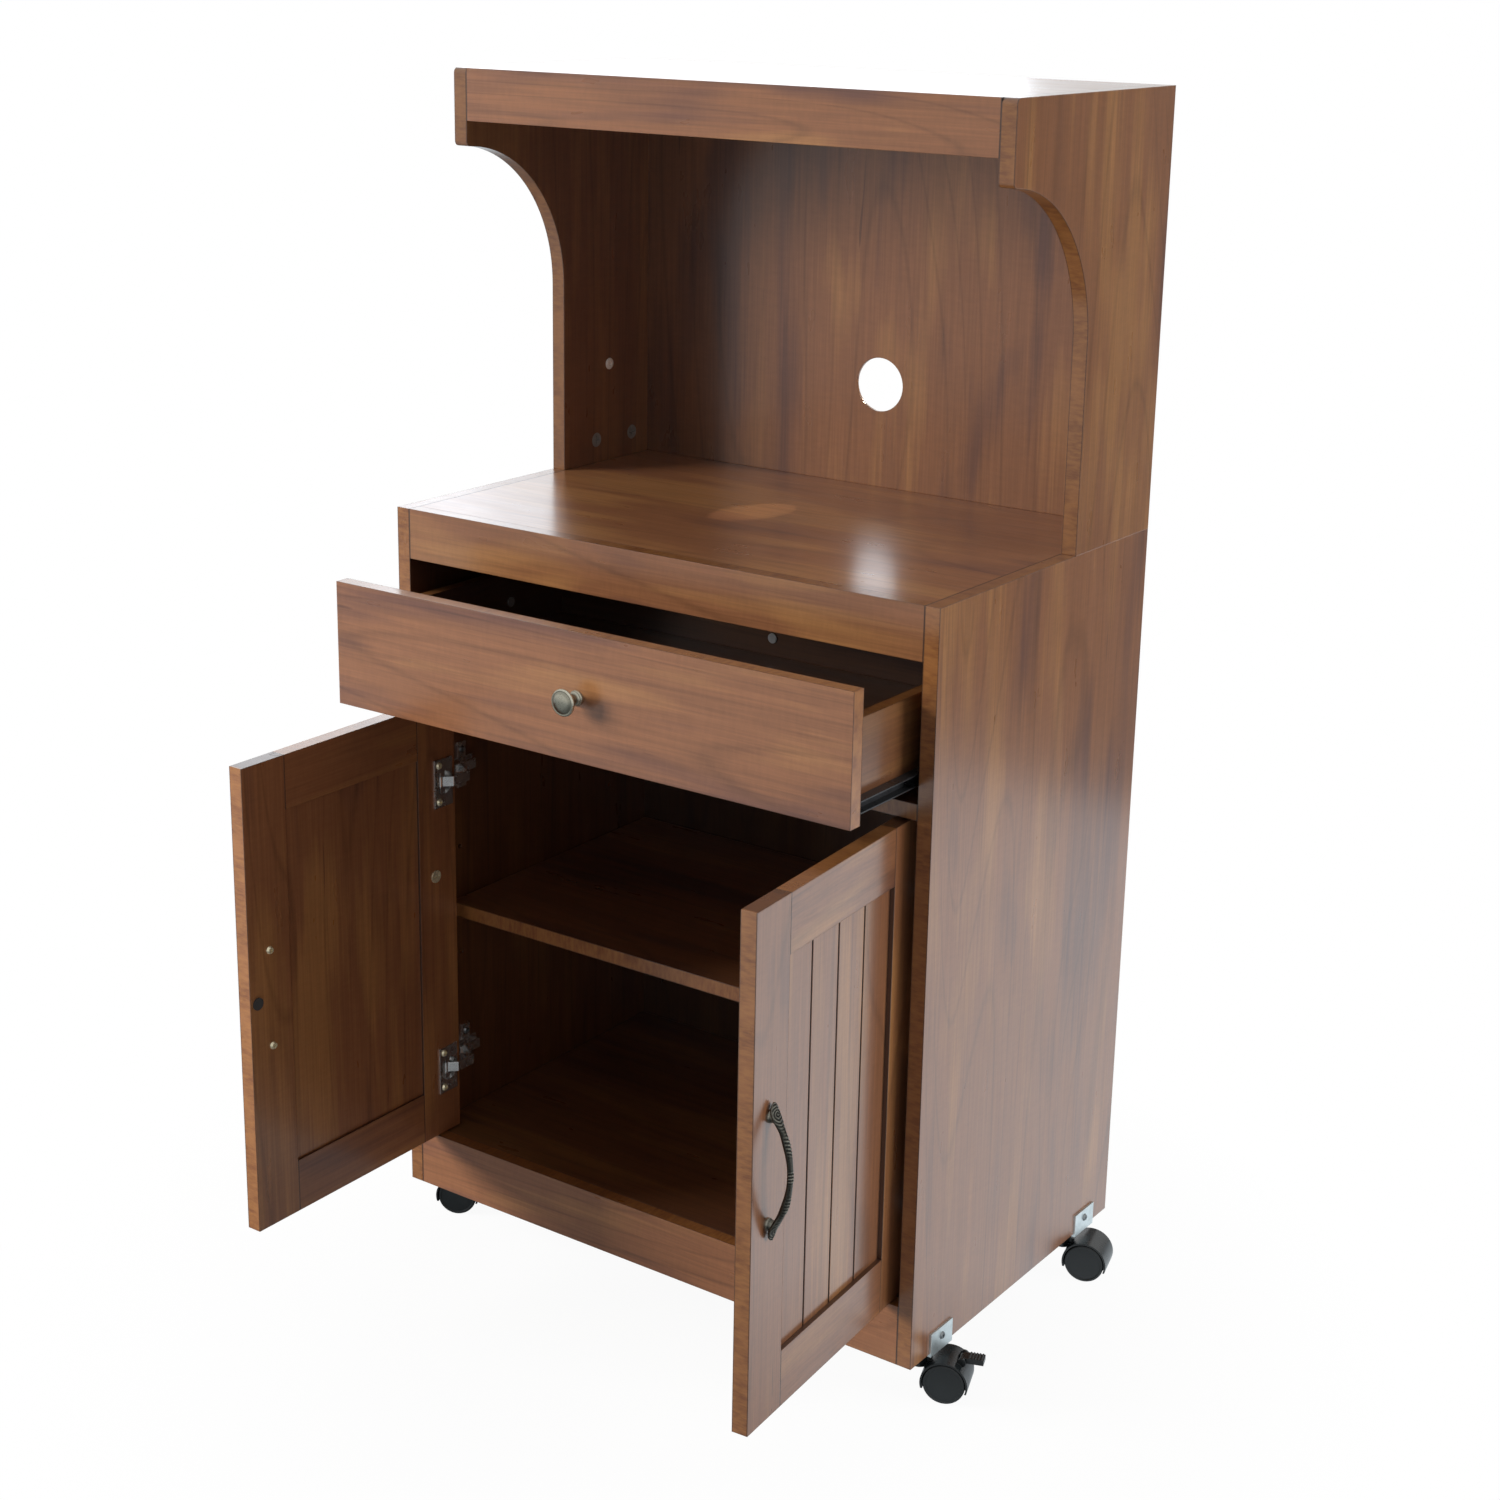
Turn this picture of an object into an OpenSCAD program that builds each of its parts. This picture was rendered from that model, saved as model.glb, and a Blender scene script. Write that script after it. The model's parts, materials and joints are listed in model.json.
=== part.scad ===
// Microwave cart on four hooded twin-wheel casters: a cupboard with two panelled doors, a drawer
// and a counter, and on top of it an open hutch with a cord hole in its back.
// +Z is up and the doors face -Y. The origin lies on the floor, on the middle plane of the cart,
// midway between its back edges and the free edge of the left door, which stands open.
// The drawer and both doors are drawn open, as far as the three opening sizes say.

/* [Case] */
// Width over the side panels
case_w = 610; // [560:1:660]
// Depth of the base, from its front rails to the back edges
case_d = 380; // [360:1:420]
// Height of the base side panels
base_h = 716; // [690:1:760]
// Thickness of every laminated board
board_t = 15; // [14:0.5:16]
// Thickness of the hardboard backs
back_t = 3; // [2.5:0.1:4]
// Height of the rail under the front edge of the counter
counter_rail_h = 49; // [44:1:60]
// Height of the plinth rail below the doors
plinth_h = 59; // [52:1:80]
// Clear height of the bay that the drawer runs in
drawer_bay_h = 126; // [122:1:140]
// How far the backs lie inside the back edges of the side panels
back_inset = 1; // [0.9:0.1:3]
// Width of the rebate in the side panels that takes a back
rebate_w = 8; // [6:0.5:9]

/* [Hutch] */
// Height of the hutch above the counter
hutch_h = 410; // [380:1:480]
// Depth of the hutch top, measured to the nose of its sides
hutch_d = 289; // [270:1:320]
// Radius of the sweep from the nose down to the upright
sweep_r = 145; // [110:1:160]
// Height of the nose
nose_h = 73; // [66:1:90]
// Rounding of the nose's corners
nose_r = 5; // [2:0.5:10]
// Height of the rail across the top of the hutch
hutch_rail_h = 49; // [42:1:60]
// Radius of the cord hole in the hutch back
cord_hole_r = 27; // [20:0.5:32]
// Height of the cord hole's middle above the counter
cord_hole_h = 104; // [80:1:200]
// How far the cord hole lies to the right of the middle
cord_hole_x = 3; // [-100:1:100]

/* [Shelf] */
// Height of the shelf's underside above the lower edge of the side panels
shelf_h = 282; // [270:1:300]
// How far the shelf stands back behind the front
shelf_setback = 50; // [45:1:60]
// Gap at each end of the shelf and behind it
shelf_gap = 1.5; // [1.2:0.1:3]
// Distance of the shelf pins from the front and from the back
pin_from_edge = 65; // [60:1:90]
// Radius of a shelf pin's shank
pin_r = 2.5; // [2:0.1:3]
// Depth of a shelf pin hole
pin_hole_depth = 10; // [8:0.5:11]

/* [Drawer] */
// How far the drawer is drawn out
drawer_out = 103; // [0:1:200]
// Gap above the drawer front
drawer_gap_top = 2; // [1:0.5:4]
// Gap below the drawer front
drawer_gap_bottom = 5; // [1:0.5:8]
// Gap at each end of the drawer front
drawer_gap_side = 2; // [1:0.5:3]
// Length of the drawer sides and of the runners
runner_l = 300; // [270:5:310]
// Height of the drawer sides
drawer_side_h = 67; // [50:1:76]
// Height of the drawer sides' lower edge above the divider
drawer_side_lift = 26; // [22:1:30]
// Thickness of the drawer sides and back
drawer_side_t = 12; // [10:0.5:14]
// Thickness of the drawer bottom
drawer_bottom_t = 3; // [2.5:0.1:4]
// Height of the drawer bottom above the lower edge of the sides
drawer_bottom_lift = 6; // [4:0.5:10]
// Depth of the grooves that hold the drawer bottom
drawer_groove = 6; // [4:0.5:8]
// Gap between a drawer side and the side panel, where the runners are
runner_gap = 12.5; // [12.5:0.1:13.5]
// Sheet thickness of the runners
runner_t = 1.2; // [1:0.1:1.3]
// Radius of the rollers at the front of the cabinet runners
front_roller_r = 4.4; // [4.2:0.1:4.5]
// Radius of the rollers at the back of the drawer runners
rear_roller_r = 5.2; // [4.8:0.1:5.4]
// Radius of a roller's axle
roller_axle_r = 1.5; // [1.2:0.1:2]
// Radius of the knob's face
knob_r = 12.5; // [10:0.5:16]
// How far the knob stands out
knob_out = 24; // [20:0.5:32]

/* [Doors] */
// Opening angle of the left door
left_open = 90; // [60:1:96]
// Opening angle of the right door
right_open = 94.3; // [60:0.1:96]
// Gap between a door's hinge edge and its side panel
door_gap_side = 4; // [4:0.1:5]
// How far the closed doors stand back behind the front
door_setback = 2; // [0:0.5:3]
// Gap between the two doors
door_gap_mid = 2; // [2:0.5:4]
// Gap above and below a door
door_gap_end = 2; // [1:0.5:4]
// Width of a door's stiles
stile_w = 53; // [50:1:70]
// Height of a door's rails
rail_w = 53; // [46:1:70]
// Thickness of a door's panel
panel_t = 8; // [7:0.5:9]
// How far the panel lies behind the face of the frame
panel_recess = 4.5; // [3:0.5:5]
// Depth of the grooves that hold the panel
panel_groove = 7; // [5:0.5:8]
// Planks that the panel's grooves mark out
plank_count = 4; // [2:1:6]
// Width of a groove between two planks
plank_groove_w = 2.6; // [1.5:0.1:4]
// Depth of a groove between two planks
plank_groove_d = 1.8; // [1:0.1:3]
// Distance between the screws of a handle
handle_pitch = 96; // [64:32:128]
// How far a handle's bow stands out
handle_out = 23; // [20:0.5:34]
// Radius of a handle's bow
handle_r = 3.6; // [3:0.1:5]

/* [Hinges] */
// Distance of the hinge axis from the door's hinge edge
axis_from_edge = 17.5; // [17:0.1:18]
// Distance of the hinge axis behind the face of the door
axis_depth = 11.8; // [11.6:0.1:11.9]
// Radius of a hinge cup
cup_r = 13; // [13:0.1:13.5]
// Depth of a hinge cup
cup_depth = 10.5; // [10.2:0.1:11]
// Radius of a hinge pin
hinge_pin_r = 1.5; // [1.2:0.1:1.6]
// Width of a hinge arm
arm_w = 10; // [8:0.5:10.5]
// Height of the lower hinge above the door's lower edge
hinge_from_bottom = 70; // [60:1:110]
// Distance of the upper hinge below the door's upper edge
hinge_from_top = 84; // [60:1:110]

/* [Casters] */
// Height of the side panels' lower edge above the floor
caster_h = 54; // [54:0.5:60]
// Radius of the wheels
wheel_r = 20; // [18:0.5:20]
// Width of one wheel
wheel_w = 14.5; // [10:0.5:16]
// Thickness of the web between the two wheels of a caster
web_t = 6; // [5:0.5:8]
// Distance of the wheel axle behind the swivel stem
trail = 26.5; // [26:0.5:28]
// Radius of a wheel axle
axle_r = 2.5; // [2:0.1:3]
// Radius of a swivel stem
stem_r = 3.5; // [3:0.1:4]
// Distance from a bracket's tab to its swivel stem
stem_inset = 21; // [20.5:0.5:26]
// Distance of the front right stem behind the front
stem_from_front = 51.5; // [50:0.5:70]
// Distance of the front left stem behind the front
left_stem_from_front = 71; // [50:0.5:90]
// Distance of the rear stems in front of the back edges
stem_from_back = 50; // [50:0.5:70]
// Headings of the casters: front left, front right, rear left, rear right
headings = [208, 20, 160, 15];

/* [Fits] */
// Radial clearance of pins and axles that turn
turn_fit = 0.05; // [0.02:0.01:0.09]
// Gap between a rolling or sliding piece and what it passes
pass_gap = 0.3; // [0.25:0.01:0.4]

/* [Hidden] */
$fn = 48;
past = 1;

// Colours
cherry = [0.45, 0.25, 0.16];
cherry_edge = [0.55, 0.32, 0.18];
hardboard = [0.36, 0.22, 0.15];
nickel = [0.78, 0.78, 0.8];
zinc = [0.7, 0.74, 0.76];
pewter = [0.3, 0.28, 0.24];
brass = [0.62, 0.5, 0.3];
black_steel = [0.08, 0.08, 0.09];
caster_black = [0.1, 0.11, 0.12];

// Case planes
outer_x = case_w / 2;
inner_x = outer_x - board_t;
door_w = inner_x - door_gap_side - door_gap_mid / 2;
door_reach = door_w - axis_from_edge - axis_depth - door_setback;
front_y = (door_reach - case_d) / 2;
rear_y = front_y + case_d;
back_y = rear_y - back_inset - back_t;
foot_z = caster_h;
counter_z = foot_z + base_h;
top_z = counter_z + hutch_h;
plinth_z = foot_z + plinth_h;
bay_z = counter_z - counter_rail_h - drawer_bay_h;
divider_z = bay_z - board_t;
nose_y = rear_y - hutch_d;

// Cam fittings: a cam in a pocket of one board draws in a bolt that is screwed into the next
cam_r = 7.5;
cam_depth = 12;
cam_from_end = 24;
cam_slot = [9, 1.6, 1.5];
bolt_r = 3;
bolt_head_r = 3.4;
bolt_thread_r = 2.5;
bolt_thread_l = 11;
bolt_bore_r = 3.5;
cam_inset = 40;
rail_cam_drop = 20;
hutch_cam_far = 91;
hutch_cam_near = 31;
hutch_cam_ys = [rear_y - hutch_cam_far, rear_y - hutch_cam_near];
bottom_cam_front = 100;
bottom_cam_back = 120;
nail_near_x = 70;
nail_far_x = 210;
nail_inset = 30;
hutch_nail_inset = 40;

// Fasteners
screw_r = 1.75;
screw_l = 12;
screw_head_r = 3.8;
screw_head_h = 1.8;
recess = [4, 1, 1];
machine_screw_r = 2;
machine_bore_r = 2.2;
machine_head_r = 4;
machine_head_h = 2.4;
machine_grip = 8;
nail_r = 0.7;
nail_l = 14;
nail_head_r = 2.4;
nail_head_h = 0.8;

// Drawer
drawer_y = front_y - drawer_out;
drawer_z = bay_z + drawer_gap_bottom;
drawer_front_h = drawer_bay_h - drawer_gap_top - drawer_gap_bottom;
box_y = drawer_y + board_t;
box_x = inner_x - runner_gap;
box_z = bay_z + drawer_side_lift;
box_in_x = box_x - drawer_side_t;
box_back_y = box_y + runner_l - drawer_side_t;
runner_y = front_y + board_t + 2;
front_roller_y = runner_y + 5 + front_roller_r;
rear_roller_y = box_y + runner_l - 10;
roller_w = 7.4;
roller_gap_x = 0.7;
roller_x = box_x + runner_t + roller_gap_x;
under_leg = drawer_side_t;
flange_x = inner_x - runner_t - 1.6;
hem_drop = 12;
front_roller_z = box_z - runner_t - pass_gap - front_roller_r;
track_z = box_z - 14.3;
rear_roller_z = track_z + pass_gap + rear_roller_r;
lip_w = 5;
lip_z = box_z - runner_t - 0.5 - runner_t;
knob_z = drawer_z + drawer_front_h / 2;
cap_r = 5;
cap_t = 1.2;
cap_from_front = 223;
side_cap_h = 36;
back_cap_h = 27;

// Doors, drawn closed with the hinge edge to the left and then turned about the hinge axis
door_z = plinth_z + door_gap_end;
door_h = divider_z - door_gap_end - door_z;
axis_x = inner_x - door_gap_side - axis_from_edge;
axis_y = front_y + door_setback + axis_depth;
hinge_zs = [door_z + hinge_from_bottom, door_z + door_h - hinge_from_top];
cup_x = 17;
cup_wall = 1;
flange = [26, 1.5, 50];
flange_from_edge = 4.5;
cup_screw_x = 24;
cup_screw_pitch = 38;
lug_w = 6.4;
lug_gap = 0.6;
knuckle_r = 2.6;
arm_t = 2;
arm_reach = 9.2;
arm_run = 23;
arm_step = 12;
plate_from_front = 50;
plate_l = 34;
plate_t = 2;
plate_wing = [12, 48];
plate_screw_pitch = 32;
plate_block_t = 6;
handle_from_edge = stile_w / 2;
cam_disc_from_edge = 30;
cam_disc_h = 283;
cam_disc_r = 6.5;
bumper_from_free = 9;
bumper_r = 6;
bumper_t = 1.5;

// Casters, drawn with the stem on the Z axis and the wheels trailing towards +X
hood_gap = 0.8;
hood_t = 1.7;
hood_r = wheel_r + hood_gap + hood_t;
wheel_gap = 0.5;
hood_w = web_t + 2 * (wheel_gap + wheel_w);
hood_cut_z = 13.5;
web_cut_z = 9;
boss_r = 8.5;
boss_z = wheel_r + 9;
neck_z = wheel_r + 18;
leg_t = 2.5;
leg_z = foot_z - leg_t;
washer_t = 2.7;
boss_top = leg_z - washer_t - pass_gap;
stem_foot_z = boss_z + 2;
bracket_w = 38;
bracket_tab_h = 21;
bracket_t = 2;
bracket_leg_l = 41;
nut_af = 10;
nut_h = 4;
bracket_screw_z = foot_z + 12;
// Casters in the order of the headings: side, outer face of the bracket's tab, stem's distance
// from the front. The front left bracket is on the inside of its side panel, turned round.
outside = outer_x + bracket_t;
casters = [
  [-1, inner_x, left_stem_from_front],
  [1, outside, stem_from_front],
  [-1, outside, case_d - stem_from_back],
  [1, outside, case_d - stem_from_back]
];
stem_xs = [for (spot = casters) spot[1] - bracket_t - stem_inset];
stem_ys = [for (spot = casters) front_y + spot[2]];
lever_axis = [trail + 14.5, 40.5];
lever_hub_r = 3.4;
lever_pin_r = 1.5;
lever_w = 12;
lever_tip = 61;
lever_t = 5;
ear_t = 2.4;
ear_r = 4.2;
ear_gap = 0.4;
rib_count = 5;

// Boxes and mirroring

// A box between two opposite corners.
module span(low, high) {
  translate(low) cube(high - low);
}

// What belongs to the right side as it is, and to the left side mirrored.
module sided(side) {
  if (side > 0) {
    children();
  } else {
    mirror([1, 0, 0]) children();
  }
}

module both_sides() {
  for (side = [-1, 1]) {
    sided(side) children();
  }
}

// A cylinder along X, or along Y, from its base point.
module rod_x(radius, length) {
  rotate([0, 90, 0]) cylinder(r = radius, h = length);
}

module rod_y(radius, length) {
  rotate([-90, 0, 0]) cylinder(r = radius, h = length);
}

// Fasteners, with the underside of the head at the origin and the shank down the -Z axis

module cross_recess(top) {
  for (turn = [0, 90]) {
    rotate([0, 0, turn]) translate([-recess[0] / 2, -recess[1] / 2, top - recess[2]])
      cube([recess[0], recess[1], recess[2] + past]);
  }
}

module wood_screw() {
  difference() {
    union() {
      cylinder(r1 = screw_head_r, r2 = screw_head_r * 0.7, h = screw_head_h);
      translate([0, 0, -screw_l]) cylinder(r = screw_r, h = screw_l);
    }
    cross_recess(screw_head_h);
  }
}

module machine_screw(length) {
  difference() {
    union() {
      cylinder(r1 = machine_head_r, r2 = machine_head_r * 0.75, h = machine_head_h);
      translate([0, 0, -length]) cylinder(r = machine_screw_r, h = length);
    }
    cross_recess(machine_head_h);
  }
}

module nail() {
  cylinder(r = nail_head_r, h = nail_head_h);
  translate([0, 0, -nail_l]) cylinder(r = nail_r, h = nail_l);
}

// Cam fittings: the pocket's mouth lies in the XY plane, the cam goes up, the bolt runs to +X

module cam_pocket() {
  translate([0, 0, -past]) cylinder(r = cam_r, h = cam_depth + past);
  translate([0, 0, board_t / 2]) rod_x(bolt_bore_r, cam_from_end + past);
}

module cam_and_bolt() {
  difference() {
    cylinder(r = cam_r, h = cam_depth);
    translate([0, 0, board_t / 2]) rod_x(bolt_bore_r, cam_r + past);
    translate([-cam_slot[0] / 2, -cam_slot[1] / 2, -past])
      cube([cam_slot[0], cam_slot[1], cam_slot[2] + past]);
    translate([-cam_slot[1] / 2, -cam_slot[0] / 2, -past])
      cube([cam_slot[1], cam_slot[0], cam_slot[2] + past]);
  }
  translate([cam_slot[1], 0, board_t / 2]) {
    rod_x(bolt_head_r, 2);
    rod_x(bolt_thread_r - 0.3, cam_from_end);
    translate([cam_r, 0, 0]) rod_x(bolt_r, cam_from_end - cam_r - cam_slot[1]);
    rod_x(bolt_thread_r, cam_from_end + bolt_thread_l - cam_slot[1]);
  }
}

// Cams in the underside of a board that spans the case at height z.
module board_cams(z, ys) {
  for (y = ys) {
    translate([inner_x - cam_from_end, y, z]) children();
  }
}

// A cam in the back of a rail whose front lies at y.
module rail_cam(y, z) {
  translate([inner_x - cam_from_end, y + board_t, z]) rotate([90, 0, 0]) children();
}

module counter_cams() {
  board_cams(counter_z - board_t, [front_y + board_t + cam_inset, back_y - cam_inset]) children();
}

module divider_cams() {
  board_cams(divider_z, [front_y + cam_inset, back_y - cam_inset]) children();
}

module bottom_cams() {
  board_cams(plinth_z - board_t, [front_y + board_t + bottom_cam_front, back_y - bottom_cam_back])
    children();
}

module hutch_top_cams() {
  board_cams(top_z - board_t, [nose_y + board_t + cam_inset, back_y - cam_inset]) children();
}

module hutch_side_cams() {
  for (y = hutch_cam_ys) {
    translate([inner_x, y, counter_z + cam_from_end]) rotate([0, 90, 0]) children();
  }
}

module counter_rail_cam() {
  rail_cam(front_y, counter_z - counter_rail_h + rail_cam_drop) children();
}

module plinth_cam() {
  rail_cam(front_y, foot_z + rail_cam_drop) children();
}

module hutch_rail_cam() {
  rail_cam(nose_y, top_z - hutch_rail_h + rail_cam_drop) children();
}

module cam_fittings() {
  color(nickel) both_sides() {
    counter_cams() cam_and_bolt();
    divider_cams() cam_and_bolt();
    bottom_cams() cam_and_bolt();
    hutch_top_cams() cam_and_bolt();
    hutch_side_cams() cam_and_bolt();
    counter_rail_cam() cam_and_bolt();
    plinth_cam() cam_and_bolt();
    hutch_rail_cam() cam_and_bolt();
  }
}

// Base

shelf_z = foot_z + shelf_h;
pin_z = shelf_z - pin_r - 0.5;
pin_ys = [front_y + pin_from_edge, back_y - pin_from_edge];
pin_rows = [-43, 0, 73];

module side_panel(side) {
  color(cherry) sided(side) difference() {
    span([inner_x, front_y, foot_z], [outer_x, rear_y, counter_z]);
    span([inner_x - past, back_y, foot_z - past], [inner_x + rebate_w, rear_y + past, counter_z + past]);
    for (y = pin_ys) {
      for (row = pin_rows) {
        translate([inner_x - past, y, pin_z + row]) rod_x(pin_r, pin_hole_depth + past);
      }
    }
  }
}

module side_panel_left() {
  side_panel(-1);
}

module side_panel_right() {
  side_panel(1);
}

module counter_top() {
  color(cherry) difference() {
    span([-inner_x, front_y + board_t, counter_z - board_t], [inner_x, back_y, counter_z]);
    both_sides() counter_cams() cam_pocket();
  }
}

module counter_rail() {
  color(cherry) difference() {
    span([-inner_x, front_y, counter_z - counter_rail_h], [inner_x, front_y + board_t, counter_z]);
    both_sides() counter_rail_cam() cam_pocket();
  }
}

module divider() {
  color(cherry) difference() {
    span([-inner_x, front_y, divider_z], [inner_x, back_y, bay_z]);
    both_sides() divider_cams() cam_pocket();
  }
}

module bottom_panel() {
  color(cherry) difference() {
    span([-inner_x, front_y + board_t, plinth_z - board_t], [inner_x, back_y, plinth_z]);
    both_sides() bottom_cams() cam_pocket();
  }
}

module plinth_rail() {
  color(cherry) difference() {
    span([-inner_x, front_y, foot_z], [inner_x, front_y + board_t, plinth_z]);
    both_sides() plinth_cam() cam_pocket();
  }
}

module base_back() {
  color(hardboard) span([-inner_x - rebate_w, back_y, plinth_z - board_t],
                        [inner_x + rebate_w, back_y + back_t, counter_z]);
}

module shelf() {
  color(cherry) span([-inner_x + shelf_gap, front_y + shelf_setback, shelf_z],
                     [inner_x - shelf_gap, back_y - shelf_gap, shelf_z + board_t]);
}

module shelf_pin() {
  collar_t = shelf_gap - 0.5;
  rod_x(pin_r, pin_hole_depth - 1);
  translate([-collar_t, 0, 0]) rod_x(pin_r + 2, collar_t);
  translate([-collar_t - 8, -pin_r, -pin_r]) cube([8, 2 * pin_r, 2 * pin_r + 0.5]);
}

module shelf_pins() {
  color(nickel) both_sides() {
    for (y = pin_ys) {
      translate([inner_x, y, pin_z]) shelf_pin();
    }
  }
}

// Nails along the back's edges: up the side panels and across the boards.
module back_nails() {
  side_zs = [for (step = [0:4])
    plinth_z + nail_inset + step * (base_h - plinth_h - 2 * nail_inset) / 4];
  hutch_zs = [for (step = [0:2])
    counter_z + hutch_nail_inset + step * (hutch_h - 2 * hutch_nail_inset) / 2];
  board_zs = [plinth_z - board_t / 2, divider_z + board_t / 2, counter_z - board_t / 2,
              top_z - board_t / 2];
  color(zinc) both_sides() {
    for (z = concat(side_zs, hutch_zs)) {
      translate([inner_x + rebate_w / 2, back_y + back_t, z]) rotate([-90, 0, 0]) nail();
    }
    for (z = board_zs) {
      for (x = [nail_near_x, nail_far_x]) {
        translate([x, back_y + back_t, z]) rotate([-90, 0, 0]) nail();
      }
    }
  }
}

// Hutch

// Outline of a hutch side with its nose to -X, its foot on the X axis and its back edge at 0.
module hutch_outline() {
  difference() {
    translate([-hutch_d, 0]) square([hutch_d, hutch_h]);
    translate([-hutch_d - past, -past]) square([sweep_r + past, hutch_h - nose_h - sweep_r + past]);
    translate([-hutch_d, hutch_h - nose_h - sweep_r]) circle(r = sweep_r, $fn = 96);
    for (y = [hutch_h - nose_r, hutch_h - nose_h + nose_r]) {
      translate([-hutch_d + nose_r, y]) difference() {
        translate([-nose_r - past, y > hutch_h - nose_h / 2 ? 0 : -nose_r - past])
          square(nose_r + past);
        circle(r = nose_r);
      }
    }
  }
}

module hutch_side(side) {
  color(cherry) sided(side) difference() {
    translate([inner_x, rear_y, counter_z]) rotate([90, 0, 90]) linear_extrude(board_t)
      hutch_outline();
    span([inner_x - past, back_y, counter_z - past], [inner_x + rebate_w, rear_y + past, top_z + past]);
    hutch_side_cams() cam_pocket();
  }
}

module hutch_side_left() {
  hutch_side(-1);
}

module hutch_side_right() {
  hutch_side(1);
}

module hutch_top() {
  color(cherry) difference() {
    span([-inner_x, nose_y + board_t, top_z - board_t], [inner_x, back_y, top_z]);
    both_sides() hutch_top_cams() cam_pocket();
  }
}

module hutch_rail() {
  color(cherry) difference() {
    span([-inner_x, nose_y, top_z - hutch_rail_h], [inner_x, nose_y + board_t, top_z]);
    both_sides() hutch_rail_cam() cam_pocket();
  }
}

module hutch_back() {
  color(hardboard) difference() {
    span([-inner_x - rebate_w, back_y, counter_z], [inner_x + rebate_w, back_y + back_t, top_z]);
    translate([cord_hole_x, back_y - past, counter_z + cord_hole_h]) rod_y(cord_hole_r, back_t + 2 * past);
  }
}

// Drawer runners

// The cabinet's channel, open towards the drawer, with the axle of its front roller.
module cabinet_runner() {
  end_y = runner_y + runner_l;
  span([inner_x - runner_t, runner_y, track_z - runner_t], [inner_x, end_y, lip_z + runner_t]);
  span([inner_x - 10, runner_y, track_z - runner_t], [inner_x, end_y, track_z]);
  span([inner_x - lip_w, front_roller_y + 12, lip_z], [inner_x, end_y, lip_z + runner_t]);
  translate([roller_x, front_roller_y, front_roller_z])
    rod_x(roller_axle_r, inner_x - runner_t / 2 - roller_x);
}

module cabinet_runners() {
  color(black_steel) both_sides() cabinet_runner();
}

module cabinet_rollers() {
  color(black_steel) both_sides() difference() {
    translate([roller_x, front_roller_y, front_roller_z]) rod_x(front_roller_r, roller_w);
    translate([roller_x - past, front_roller_y, front_roller_z])
      rod_x(roller_axle_r + turn_fit, roller_w + 2 * past);
  }
}

// The drawer's own runner: a plate under the side, a web down and a hem, with the rear axle.
module drawer_runner() {
  end_y = box_y + runner_l;
  hem_end_y = rear_roller_y - rear_roller_r - 4;
  span([box_x - under_leg, box_y, box_z - runner_t], [flange_x, end_y, box_z]);
  span([box_x, box_y, box_z - hem_drop], [box_x + runner_t, end_y, box_z]);
  span([box_x, box_y, box_z - hem_drop], [flange_x - 1, hem_end_y, box_z - hem_drop + runner_t]);
  translate([box_x + runner_t / 2, rear_roller_y, rear_roller_z])
    rod_x(roller_axle_r, roller_x + roller_w - box_x - runner_t / 2);
}

module drawer_runners() {
  color(black_steel) both_sides() drawer_runner();
}

module drawer_rollers() {
  color(black_steel) both_sides() difference() {
    translate([roller_x, rear_roller_y, rear_roller_z]) rod_x(rear_roller_r, roller_w);
    translate([roller_x - past, rear_roller_y, rear_roller_z])
      rod_x(roller_axle_r + turn_fit, roller_w + 2 * past);
  }
}

// Drawer

module drawer_bottom_slab(grow) {
  span([-box_in_x - drawer_groove, drawer_y + board_t - drawer_groove, box_z + drawer_bottom_lift - grow],
       [box_in_x + drawer_groove, box_back_y + drawer_groove,
        box_z + drawer_bottom_lift + drawer_bottom_t + grow]);
}

module drawer_front() {
  color(cherry) difference() {
    span([-inner_x + drawer_gap_side, drawer_y, drawer_z],
         [inner_x - drawer_gap_side, drawer_y + board_t, drawer_z + drawer_front_h]);
    drawer_bottom_slab(0);
    translate([0, drawer_y - past, knob_z]) rod_y(machine_bore_r, board_t + 2 * past);
  }
}

module drawer_side(side) {
  color(cherry_edge) sided(side) difference() {
    span([box_in_x, box_y, box_z], [box_x, box_y + runner_l, box_z + drawer_side_h]);
    drawer_bottom_slab(0);
  }
}

module drawer_side_left() {
  drawer_side(-1);
}

module drawer_side_right() {
  drawer_side(1);
}

module drawer_back() {
  color(cherry_edge) difference() {
    span([-box_in_x, box_back_y, box_z], [box_in_x, box_y + runner_l, box_z + drawer_side_h]);
    drawer_bottom_slab(0);
  }
}

module drawer_bottom() {
  color(hardboard) drawer_bottom_slab(0);
}

// Caps over the screw heads inside the drawer.
module drawer_caps() {
  color(nickel) {
    both_sides() translate([box_in_x - cap_t, drawer_y + cap_from_front, box_z + side_cap_h])
      rod_x(cap_r, cap_t);
    translate([0, box_back_y - cap_t, box_z + back_cap_h]) rod_y(cap_r, cap_t);
  }
}

// Outline of the knob: foot, waist, cup and a rimmed face, from the drawer front outwards.
knob_outline = [
  [0, 0], [7.2, 0], [7.2, 1.6], [6.2, 2.6], [5, 3.4], [4.4, 5.5], [4.4, knob_out - 14],
  [5.4, knob_out - 11], [8, knob_out - 9], [knob_r - 0.8, knob_out - 7.2],
  [knob_r, knob_out - 5.6], [knob_r - 0.3, knob_out - 4.2], [knob_r - 1.6, knob_out - 3.4],
  [knob_r - 2.4, knob_out - 3.2], [8, knob_out - 1.4], [4, knob_out - 0.3], [0, knob_out]
];

module drawer_knob() {
  color(pewter) translate([0, drawer_y, knob_z]) rotate([90, 0, 0]) difference() {
    rotate_extrude() polygon(knob_outline);
    translate([0, 0, -past]) cylinder(r = machine_screw_r, h = machine_grip + past);
  }
}

module knob_screw() {
  color(brass) translate([0, drawer_y + board_t, knob_z]) rotate([-90, 0, 0])
    machine_screw(board_t + machine_grip - 1);
}

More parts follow.
